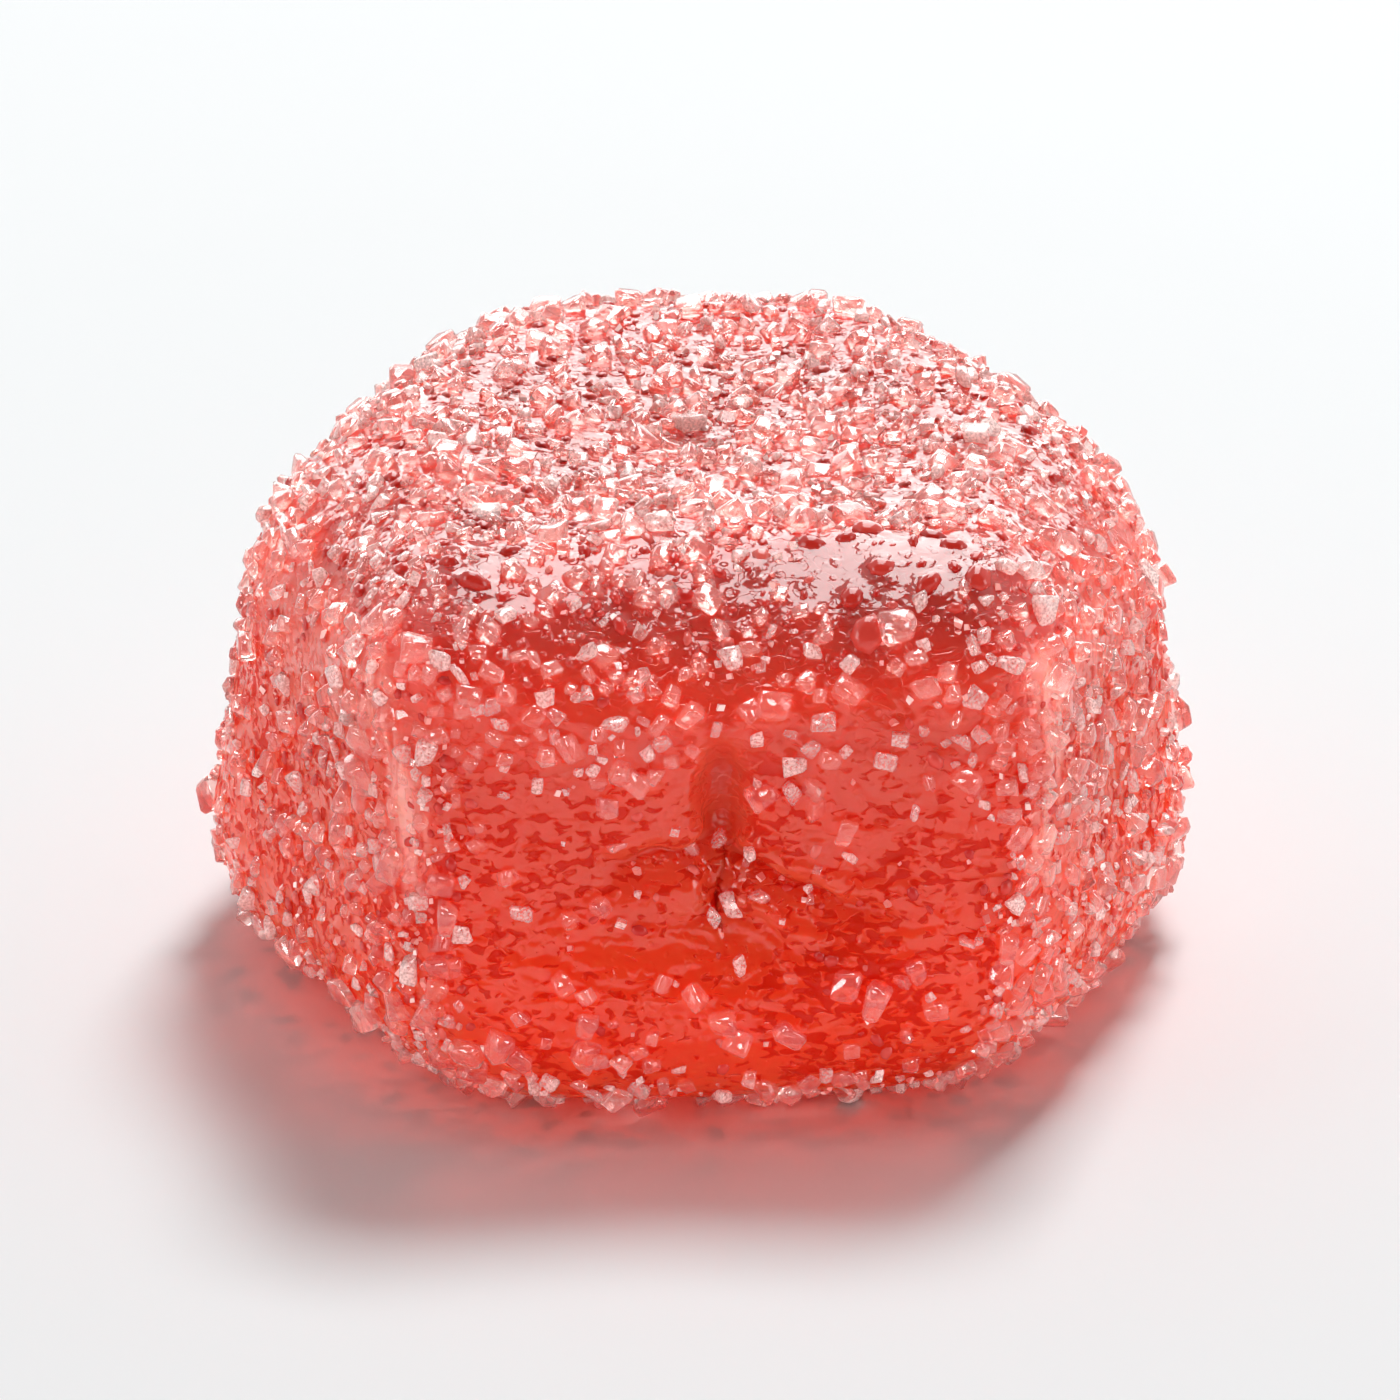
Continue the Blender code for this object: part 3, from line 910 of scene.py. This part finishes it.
class Crowd:
    """The crystals laid so far, sorted into cells of space, so that new ones keep clear of them."""

    def __init__(self):
        self.held = {}
        for spot, size in PLACED:
            self.hold(spot, size)

    def cell(self, spot):
        return tuple(math.floor(value / CELL) for value in spot)

    def hold(self, spot, size):
        self.held.setdefault(self.cell(spot), []).append((spot, size))

    def fits(self, spot, size, overlap):
        """Whether a crystal has room here. If it has, it is held from now on."""
        here = self.cell(spot)
        for step in itertools.product((-1, 0, 1), repeat=3):
            beside = tuple(index + one for index, one in zip(here, step))
            for other, other_size in self.held.get(beside, ()):
                if math.dist(spot, other) < (size + other_size) * 0.5 * overlap:
                    return False
        self.hold(spot, size)
        PLACED.append((spot, size))
        return True


# Heights on the front panel between which its upper and its lower share of sugar set in
PANEL_HIGH_Z = (8.0, 9.8)
PANEL_LOW_Z = (1.8, 4.2)
RIGHT_THINNER = 0.45  # share by which the panel's upper sugar is thinner on the right
RIGHT_THINNER_X = (0.5, 2.5)
FOOT_ROW = 1.5  # how thick the row at the panel's foot lies
FOOT_ROW_Z = (0.9, 1.9)
SIDE_THINNER = 0.48  # share by which the sugar is thinner on the sides and the back than on the crown
SIDE_TURN = (math.radians(38.0), math.radians(46.0))  # from the front
LOW_RIM_THICKER = 0.8
COLUMN_TOP_Z = (10.5, 11.5)
STREAK_CLEARED = 0.8  # shares of the sugar that the bare streaks and the foot lack
FOOT_CLEARED = 0.55
STREAK_Z = ((5.0, 7.0), (11.0, 12.2))
CLEAR_HALF_WIDTH = 0.75  # of the navel, where nothing lies
CLEAR_FROM_Z = (4.2, 5.0)
CLEAR_TO_Z = (9.6, 10.2)
CLUMP_STEP = (17.3, 5.1, 9.7)  # kinds whose clumps are shifted by as many of these steps gather together
CLUMP_CONTRAST = 5.0
CLUMP_LIMITS = (0.08, 2.2)  # the thinnest and the thickest that clumping makes the sugar lie
BEADS_WALL_FEWER = 0.75  # shares by which the grains under syrup are fewer in each region
BEADS_CROWN_FEWER = 0.6
BEADS_CROWN_Y = (-7.5, -4.0)
BEADS_PANEL_FEWER = 0.60
BEADS_PATCH_FEWER = 0.8


def clumps(places, size, steps_aside):
    """Smooth noise from 0 to 1 at each place, with blotches of the given size, shifted by some steps."""
    shift = Vector([steps_aside * part for part in CLUMP_STEP])
    return np.array([noise.noise(Vector(place) / size + shift) for place in places]) * 0.5 + 0.5


def navel_share(zone):
    """Where the navel and its slit keep the front panel clear of sugar and grains."""
    return hollow(zone["x"], CLEAR_HALF_WIDTH, 4.0) * smooth_step(*CLEAR_FROM_Z, zone["z"]) * on_panel(zone)


def coat_density(places, normals, lay):
    """How thick the sugar lies, 1 being usual: even on the crown, thinner on the sides, sparse on the moist
    front panel, heaped on its edges and at its foot, and none in the navel."""
    zone = regions(places, normals)
    x, y, z = zone["x"], zone["y"], zone["z"]
    down = 1.0 - smooth_step(*PANEL_LOW_Z, z)
    high = lay.high * (1.0 - RIGHT_THINNER * smooth_step(*RIGHT_THINNER_X, x))
    front = lay.middle + (high - lay.middle) * smooth_step(*PANEL_HIGH_Z, z) + (lay.low - lay.middle) * down
    front = front + (FOOT_ROW - front) * (1.0 - smooth_step(*FOOT_ROW_Z, z))
    from_front = np.abs(np.arctan2(x, -y))
    side = 1.0 - SIDE_THINNER * smooth_step(*SIDE_TURN, from_front) * (1.0 - zone["crown"])
    rim = 1.0 + (1.0 + LOW_RIM_THICKER * down) * zone["rim"]
    heap = 1.0 + lay.heaped * zone["column"] * (1.0 - smooth_step(*COLUMN_TOP_Z, z))
    density = side * (1.0 - zone["front"] * (1.0 - front)) * rim * (1.0 + rich_patches(zone)) * heap
    density = density * (1.0 - STREAK_CLEARED * zone["streak"] * band(*STREAK_Z, z))
    navel = navel_share(zone) * (1.0 - smooth_step(*CLEAR_TO_Z, z))
    density = density * (1.0 - bare_patches(zone)) * (1.0 - navel) * (1.0 - FOOT_CLEARED * zone["foot"])
    blotch = clumps(places, lay.clump_size, lay.clump_steps)
    return density * np.clip(1.0 + lay.clumping * (blotch - 0.5) * CLUMP_CONTRAST, *CLUMP_LIMITS)


def drop_density(places, normals):
    """How thick the drops of syrup lie: on the glossy patches of the shoulder only."""
    return bare_patches(regions(places, normals))


def bead_density(places, normals):
    """How thick the grains under syrup lie: many on the front of the crown and the ridges, fewer on the walls
    and the front panel, none in the navel."""
    zone = regions(places, normals)
    edges = np.maximum(zone["rim"], zone["column"])
    wall = 1.0 - BEADS_WALL_FEWER * (1.0 - zone["crown"]) * (1.0 - edges)
    crown = 1.0 - BEADS_CROWN_FEWER * zone["crown"] * smooth_step(*BEADS_CROWN_Y, zone["y"])
    front = 1.0 - BEADS_PANEL_FEWER * zone["front"]
    smooth = 1.0 - BEADS_PATCH_FEWER * bare_patches(zone)
    return wall * crown * front * smooth * (1.0 - navel_share(zone)) * (1.0 - zone["foot"])


class Lay(NamedTuple):
    """How one kind of crystal or grain lies on the gel."""

    per_mm2: float  # tries for each square millimetre where the density is 1
    spread: float  # of the widths, as the deviation of their logarithm
    raised: float  # height of its middle over the gel, as a share of its width
    tilt: float  # deviation from lying flat, in radians
    overlap: float = 0.80  # least distance of two, as a share of their mean width
    high: float = 1.0  # density high on the front panel, where the crown's is 1
    middle: float = 1.0
    low: float = 1.0
    heaped: float = 0.0  # how much thicker it lies on the two front ridges
    clump_size: float = 1.0
    clumping: float = 0.0
    clump_steps: int = 0


WIDTH_LIMITS = (0.5, 1.6)  # the narrowest and the widest of one kind, as shares of its usual width
BLUNT_EDGE = math.radians(58.0)  # edges blunter than this are shaded round
DROPS = Lay(per_mm2=2.2, spread=0.45, raised=0.0, tilt=0.12, overlap=1.1)
GRAINS = Lay(per_mm2=3.4, spread=0.32, raised=-0.03, tilt=0.12, overlap=0.72)
WHITE = Lay(per_mm2=0.16, spread=0.25, raised=0.16, tilt=0.50, high=0.60, middle=0.10, low=0.14, heaped=0.5,
            clump_size=1.5, clumping=1.0, clump_steps=11)
COARSE = Lay(per_mm2=0.36, spread=0.14, raised=0.12, tilt=0.40, high=0.12, middle=0.08, low=1.00, heaped=4.5,
             clump_size=2.0, clumping=1.0, clump_steps=12)
BLOCKS = Lay(per_mm2=1.4, spread=0.20, raised=0.14, tilt=0.50, high=1.70, middle=0.17, low=0.50, heaped=1.6,
             clump_size=1.1, clumping=0.9, clump_steps=12)
SLABS = Lay(per_mm2=1.5, spread=0.22, raised=0.12, tilt=0.55, high=1.50, middle=0.15, low=0.40, heaped=1.6,
            clump_size=1.3, clumping=0.9, clump_steps=11)
CHIPS = Lay(per_mm2=1.6, spread=0.28, raised=0.12, tilt=0.60, high=1.00, middle=0.12, low=0.16, heaped=0.5,
            clump_size=1.0, clumping=0.7, clump_steps=11)
DUST = Lay(per_mm2=2.2, spread=0.25, raised=0.15, tilt=0.80, high=0.60, middle=0.10, low=0.12, heaped=1.0,
           clump_size=1.0, clumping=0.5, clump_steps=10)


def scatter(gel, name, shapes, rng, size, lay, density):
    """Lays crystals of about one size on the gel, clear of those laid before, and joins them as one mesh."""
    spots, normals = skin_samples(gel, rng, lay.per_mm2, density)
    tries = len(spots)
    sizes = size / MM * np.clip(np.exp(rng.normal(0.0, lay.spread, tries)), *WIDTH_LIMITS)
    spins = rng.uniform(0.0, math.tau, tries)
    tilts = rng.normal(0.0, lay.tilt, (tries, 2))
    kinds = rng.integers(0, len(shapes), tries)
    crowd = Crowd()
    all_points, all_faces, start = [], [], 0
    for spot, normal, reach, spin, tilt, kind in zip(spots, normals, sizes, spins, tilts, kinds):
        if not crowd.fits(tuple(spot), reach, lay.overlap):
            continue
        outward = Vector(normal).to_track_quat("Z", "Y").to_matrix()
        own = (Matrix.Rotation(tilt[0], 3, "X") @ Matrix.Rotation(tilt[1], 3, "Y")
               @ Matrix.Rotation(spin, 3, "Z"))
        points, faces = shapes[kind]
        placed = points @ np.array(outward @ own).T * reach + spot + normal * reach * lay.raised
        placed[:, 2] += max(0.0, -placed[:, 2].min())
        all_points.append(placed)
        all_faces.append(faces + start)
        start += len(points)
    mesh = joined_mesh(name, np.concatenate(all_points), np.concatenate(all_faces))
    piece = bpy.data.objects.new(name, mesh)
    bpy.context.scene.collection.objects.link(piece)
    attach(piece, "root")
    return piece


def joined_mesh(name, points, faces):
    """One mesh from points in millimetres and triangles."""
    mesh = bpy.data.meshes.new(name)
    mesh.vertices.add(len(points))
    mesh.vertices.foreach_set("co", (points * MM).ravel())
    mesh.loops.add(len(faces) * 3)
    mesh.loops.foreach_set("vertex_index", faces.ravel())
    mesh.polygons.add(len(faces))
    mesh.polygons.foreach_set("loop_start", np.arange(len(faces)) * 3)
    mesh.update(calc_edges=True)
    mesh.validate()
    return mesh


def strew(gel, name, shapes, rng, size, lay, material):
    """Lays one kind of sugar crystal over the coat."""
    piece = scatter(gel, name, shapes, rng, size, lay, lambda *skin: coat_density(*skin, lay))
    piece.data.shade_smooth()
    piece.data.set_sharp_from_angle(angle=BLUNT_EDGE)
    piece.data.materials.append(material)


class GUMMY_OT_drops(bpy.types.Operator):
    """Set drops of syrup on the glossy patches of the shoulder"""

    bl_idname = "gummy.drops"
    bl_label = "Drops of syrup"

    def execute(self, context):
        settings = context.scene.gummy_sugar
        gel = bpy.data.objects["gel_body"]
        rng = np.random.default_rng(5)
        shapes = [bead_shape(rng) for _ in range(10)]
        drops = scatter(gel, "syrup_drops", shapes, rng, settings.drop_size, DROPS, drop_density)
        drops.data.shade_smooth()
        # Wet and crimson, with a sharp glint: they look like part of the gel
        syrup = tinted_material("drops_of_red_syrup", "#ab241c", "#ba3026", "#c53e34", roughness=0.04)
        drops.data.materials.append(syrup)
        return {"FINISHED"}


class GUMMY_OT_sugar(bpy.types.Operator):
    """Strew the larger sugar crystals over the gel"""

    bl_idname = "gummy.sugar"
    bl_label = "Sugar crystals"

    def execute(self, context):
        settings = context.scene.gummy_sugar
        gel = bpy.data.objects["gel_body"]
        rng = np.random.default_rng(7)
        coarse = [crystal_shape(rng, chips=3, worn=0.08) for _ in range(12)]
        blocks = [crystal_shape(rng, chips=2, worn=0.10) for _ in range(16)]
        slabs = [crystal_shape(rng, chips=2, worn=0.07, thick=SLAB_THICK) for _ in range(16)]
        # Glassy: the red gel shows through, and faces flash white
        clear = sugar_material(settings, "clear_sugar_crystals", frost=0.10, through=LIGHT_THROUGH)
        # Scratched: a pink haze over the red of the gel
        frosted = sugar_material(settings, "frosted_sugar_crystals", frost=0.30)
        # Dry and cloudy: the palest, with the least of the gel's red
        white = sugar_material(settings, "dry_white_sugar", frost=0.45)
        for name, shapes, size, lay, finish in (
            ("sugar_white", blocks, settings.white_size, WHITE, white),
            ("sugar_coarse", coarse, settings.coarse_size, COARSE, clear),
            ("sugar_blocks", blocks, settings.block_size, BLOCKS, clear),
            ("sugar_slabs", slabs, settings.slab_size, SLABS, frosted),
        ):
            strew(gel, name, shapes, rng, size, lay, finish)
        return {"FINISHED"}


class GUMMY_OT_beads(bpy.types.Operator):
    """Set grains under the syrup between the crystals"""

    bl_idname = "gummy.beads"
    bl_label = "Grains under syrup"

    def execute(self, context):
        settings = context.scene.gummy_sugar
        gel = bpy.data.objects["gel_body"]
        rng = np.random.default_rng(11)
        shapes = [bead_shape(rng) for _ in range(16)]
        beads = scatter(gel, "syrup_beads", shapes, rng, settings.bead_size, GRAINS, bead_density)
        beads.data.shade_smooth()
        # Half dissolved under a wet film: redder than the crystals, and smooth
        syrup = tinted_material("grains_under_red_syrup", "#b3201a", "#c5352c", "#d45a50", roughness=0.05)
        beads.data.materials.append(syrup)
        return {"FINISHED"}


class GUMMY_OT_crumbs(bpy.types.Operator):
    """Strew broken chips and dust of sugar between the crystals"""

    bl_idname = "gummy.crumbs"
    bl_label = "Sugar crumbs"

    def execute(self, context):
        settings = context.scene.gummy_sugar
        gel = bpy.data.objects["gel_body"]
        rng = np.random.default_rng(13)
        chips = [crystal_shape(rng, chips=4, worn=0.0) for _ in range(14)]
        dust = [crystal_shape(rng, chips=0, worn=0.0) for _ in range(8)]
        # Fine and dry: from pink, where it is damp, to nearly white
        crumbs = tinted_material("white_and_pink_sugar_crumbs", "#cf4a40", "#e58f86", "#fbdcd6",
                                 roughness=0.30)
        # Cloudy with breaks: paler than the whole crystals, with small glints
        chipped = sugar_material(settings, "broken_sugar_chips", frost=0.36)
        strew(gel, "sugar_chips", chips, rng, settings.chip_size, CHIPS, chipped)
        strew(gel, "sugar_dust", dust, rng, settings.dust_size, DUST, crumbs)
        return {"FINISHED"}


# ---------------------------------------------------------------- the stage

CAMERA_RISE = math.radians(23.365)
CAMERA_TURN = math.radians(-2.65)
CAMERA_AWAY = 160.0
CAMERA_TARGET = (0.051, 0.0, 5.76)
PHOTO_PIXELS = 1400  # width and height of the picture that the camera's framing repeats
PIXELS_PER_MM = 40.49  # at the target, in that picture's pixels
SENSOR = 36.0

# Lamps: where each stands, how high the place is that it points at, and its width and height. In metres; of
# a pair, this is the right one.
KEY = ((0.098, 0.23, 0.46), 0.005, (0.15, 0.15))
GLOSS_PANEL = ((0.02, 0.10, 0.24), 0.010, (0.15, 0.30))
BACK_PANEL = ((0.0, 0.34, 0.13), 0.012, (0.55, 0.22))
FRONT_FILL = ((0.0, -0.30, 0.020), 0.005, (0.24, 0.04))
GLINT = ((0.03, 0.10, 0.40), 0.010, (0.24, 0.24))
SIDE_PANEL = ((0.22, -0.10, 0.07), 0.005, (0.10, 0.14))
RIDGE_GLINT = ((0.14, -0.20, 0.21), 0.007, (0.10, 0.10))
SIDE_FILL = ((0.30, -0.13, 0.05), 0.006, (0.20, 0.09))
LEFT_FILL_MORE = 0.04  # share by which the left fill is stronger than usual, and the right one weaker
PANEL_COLOUR = "#e6f3f3"  # cool, so that what mirrors it isn't pink
FLOOR_SIZE = 3.0

# The room, as shares of white: dark toward the camera's side, so that wet faces have contrast
ROOM_DARK_WAY = (0.0, -0.866, 0.5)
ROOM_DARK_EDGE = (0.45, 0.75)
ROOM_DARKEST = 0.05
ROOM_DARKEST_REFRACTED = 0.62  # how much lighter the dark part is to what is seen through a crystal
ROOM_MIRRORED = 0.97
ROOM_COLOUR = (0.965, 0.975, 0.97, 1.0)


def area_lamp(name, stand, watts, side=1.0, diffuse=True, glossy=True, only_on=None, colour="#ffffff"):
    """A rectangular lamp. Without glossy, neither reflections nor clear pieces show it. With only_on, it
    lights that collection alone. Side is -1 for the left one of a pair."""
    (x, y, z), target_height, (wide, high) = stand
    place = Vector((x * side, y, z))
    data = bpy.data.lights.new(name, "AREA")
    data.shape = "RECTANGLE"
    data.size = wide
    data.size_y = high
    data.energy = watts
    data.color = linear(colour)[:3]
    lamp = bpy.data.objects.new(name, data)
    lamp.location = place
    lamp.rotation_euler = (Vector((0.0, 0.0, target_height)) - place).to_track_quat("-Z", "Y").to_euler()
    bpy.context.scene.collection.objects.link(lamp)
    lamp.visible_camera = False
    lamp.visible_diffuse = diffuse
    lamp.visible_glossy = glossy
    lamp.visible_transmission = glossy
    if only_on:
        lamp.light_linking.receiver_collection = only_on


class GUMMY_OT_stage(bpy.types.Operator):
    """Set the floor, the lights and the camera"""

    bl_idname = "gummy.stage"
    bl_label = "Stage"

    def execute(self, context):
        settings = context.scene.gummy_stage
        self.add_floor(settings)
        self.add_world(settings)
        self.add_lamps(settings)
        self.add_camera(context)
        context.scene.view_settings.view_transform = "Standard"
        return {"FINISHED"}

    def add_lamps(self, settings):
        """A softbox behind, panels that only reflections show, small lamps for glints, and fills."""
        sweet = self.lit_together("sweet", ("gel", "sugar", "syrup"))
        sugar = self.lit_together("sugar", ("sugar",))
        area_lamp("key", KEY, settings.key_watts, glossy=False)
        area_lamp("gloss_panel", GLOSS_PANEL, settings.gloss_watts, diffuse=False, colour=PANEL_COLOUR)
        area_lamp("back_panel", BACK_PANEL, settings.back_watts, diffuse=False, colour=PANEL_COLOUR)
        area_lamp("front_fill", FRONT_FILL, settings.front_watts, glossy=False, only_on=sweet)
        area_lamp("glint", GLINT, settings.glint_watts, diffuse=False, only_on=sugar)
        for side in (-1.0, 1.0):
            area_lamp(f"side_panel_{side:+.0f}", SIDE_PANEL, settings.side_watts, side, diffuse=False)
            area_lamp(f"ridge_glint_{side:+.0f}", RIDGE_GLINT, settings.sparkle_watts, side, diffuse=False,
                      only_on=sugar)
            fill_watts = settings.fill_watts * (1.0 - LEFT_FILL_MORE * side)
            area_lamp(f"side_fill_{side:+.0f}", SIDE_FILL, fill_watts, side, glossy=False, only_on=sweet)

    def lit_together(self, name, starts):
        """A collection, outside the scene, of the pieces that a lamp may light alone."""
        group = bpy.data.collections.new(name)
        for thing in bpy.data.objects:
            if thing.type == "MESH" and thing.name.startswith(starts):
                group.objects.link(thing)
        return group

    def add_floor(self, settings):
        """A matte white board, which takes the sweet's pink shadow and mirrors nothing."""
        bpy.ops.mesh.primitive_plane_add(size=FLOOR_SIZE, location=(0.0, 0.0, 0.0))
        floor = bpy.context.active_object
        floor.name = "floor"
        material, tree, output = new_material("matte_white_board")
        shader = add_node(tree, "ShaderNodeBsdfPrincipled", {
            "Base Color": (*settings.floor_colour, 1.0), "Roughness": 0.8, "Specular IOR Level": 0.0})
        tree.links.new(shader.outputs[0], output.inputs["Surface"])
        floor.data.materials.append(material)

    def add_world(self, settings):
        """A white room whose camera side is dark, brighter to what mirrors or refracts it than to others."""
        world = bpy.data.worlds.new("studio")
        bpy.context.scene.world = world
        world.use_nodes = True
        tree = world.node_tree
        tree.nodes.clear()
        output = tree.nodes.new("ShaderNodeOutputWorld")
        way = add_node(tree, "ShaderNodeTexCoord").outputs["Generated"]
        toward = add_node(tree, "ShaderNodeVectorMath", {"operation": "DOT_PRODUCT", 1: ROOM_DARK_WAY},
                          {0: way})
        rays = add_node(tree, "ShaderNodeLightPath")
        darkest = add_node(tree, "ShaderNodeMath", {
            "operation": "MULTIPLY_ADD", 1: ROOM_DARKEST_REFRACTED, 2: ROOM_DARKEST,
        }, {0: rays.outputs["Is Transmission Ray"]})
        dark = add_node(tree, "ShaderNodeMapRange", {
            "interpolation_type": "SMOOTHSTEP", "From Min": ROOM_DARK_EDGE[0], "From Max": ROOM_DARK_EDGE[1],
            "To Min": 1.0,
        }, {"Value": toward.outputs["Value"], "To Max": darkest.outputs[0]})
        mirrored = add_node(tree, "ShaderNodeMath", {"operation": "MAXIMUM"},
                            {0: rays.outputs["Is Glossy Ray"], 1: rays.outputs["Is Transmission Ray"]})
        level = add_node(tree, "ShaderNodeMapRange", {"To Min": settings.room, "To Max": ROOM_MIRRORED},
                         {"Value": mirrored.outputs[0]})
        room = add_node(tree, "ShaderNodeMath", {"operation": "MULTIPLY"},
                        {0: dark.outputs[0], 1: level.outputs[0]})
        seen = add_node(tree, "ShaderNodeMath", {"operation": "MAXIMUM"},
                        {0: room.outputs[0], 1: rays.outputs["Is Camera Ray"]})
        light = add_node(tree, "ShaderNodeBackground", {"Color": ROOM_COLOUR}, {"Strength": seen.outputs[0]})
        tree.links.new(light.outputs[0], output.inputs["Surface"])

    def add_camera(self, context):
        """A long lens that frames the sweet as the picture does, with no blur."""
        data = bpy.data.cameras.new("camera")
        camera = bpy.data.objects.new("camera", data)
        context.scene.collection.objects.link(camera)
        data.sensor_width = SENSOR
        data.lens = SENSOR * PIXELS_PER_MM * CAMERA_AWAY / PHOTO_PIXELS
        data.clip_start = 0.01
        data.clip_end = 20.0
        level = math.cos(CAMERA_RISE)
        back = Vector((math.sin(CAMERA_TURN) * level, -math.cos(CAMERA_TURN) * level, math.sin(CAMERA_RISE)))
        camera.location = (Vector(CAMERA_TARGET) + back * CAMERA_AWAY) * MM
        camera.rotation_euler = (-back).to_track_quat("-Z", "Y").to_euler()
        context.scene.camera = camera


class GUMMY_PT_panel(bpy.types.Panel):
    """Buttons that build the gummy and its stage, and their settings"""

    bl_idname = "GUMMY_PT_panel"
    bl_label = "Sugared Gummy"
    bl_space_type = "VIEW_3D"
    bl_region_type = "UI"
    bl_category = "Gummy"

    def draw(self, context):
        for operator in OPERATORS:
            self.layout.operator(operator.bl_idname)
        for name, group in SETTINGS:
            box = self.layout.box()
            for setting in group.__annotations__:
                box.prop(getattr(context.scene, name), setting)


SETTINGS = (
    ("gummy_gel", GummyGelSettings),
    ("gummy_sugar", GummySugarSettings),
    ("gummy_stage", GummyStageSettings),
)
OPERATORS = (
    GUMMY_OT_gel,
    GUMMY_OT_drops,
    GUMMY_OT_sugar,
    GUMMY_OT_beads,
    GUMMY_OT_crumbs,
    GUMMY_OT_syrup,
    GUMMY_OT_stage,
)


def register():
    for name, group in SETTINGS:
        bpy.utils.register_class(group)
        setattr(bpy.types.Scene, name, PointerProperty(type=group))
    for made in (*OPERATORS, GUMMY_PT_panel):
        bpy.utils.register_class(made)


def unregister():
    for made in (GUMMY_PT_panel, *reversed(OPERATORS)):
        bpy.utils.unregister_class(made)
    for name, group in reversed(SETTINGS):
        delattr(bpy.types.Scene, name)
        bpy.utils.unregister_class(group)


def main():
    register()
    bpy.ops.gummy.gel()
    bpy.ops.gummy.drops()
    bpy.ops.gummy.sugar()
    bpy.ops.gummy.beads()
    bpy.ops.gummy.crumbs()
    bpy.ops.gummy.syrup()
    bpy.ops.gummy.stage()


if __name__ == "__main__":
    main()
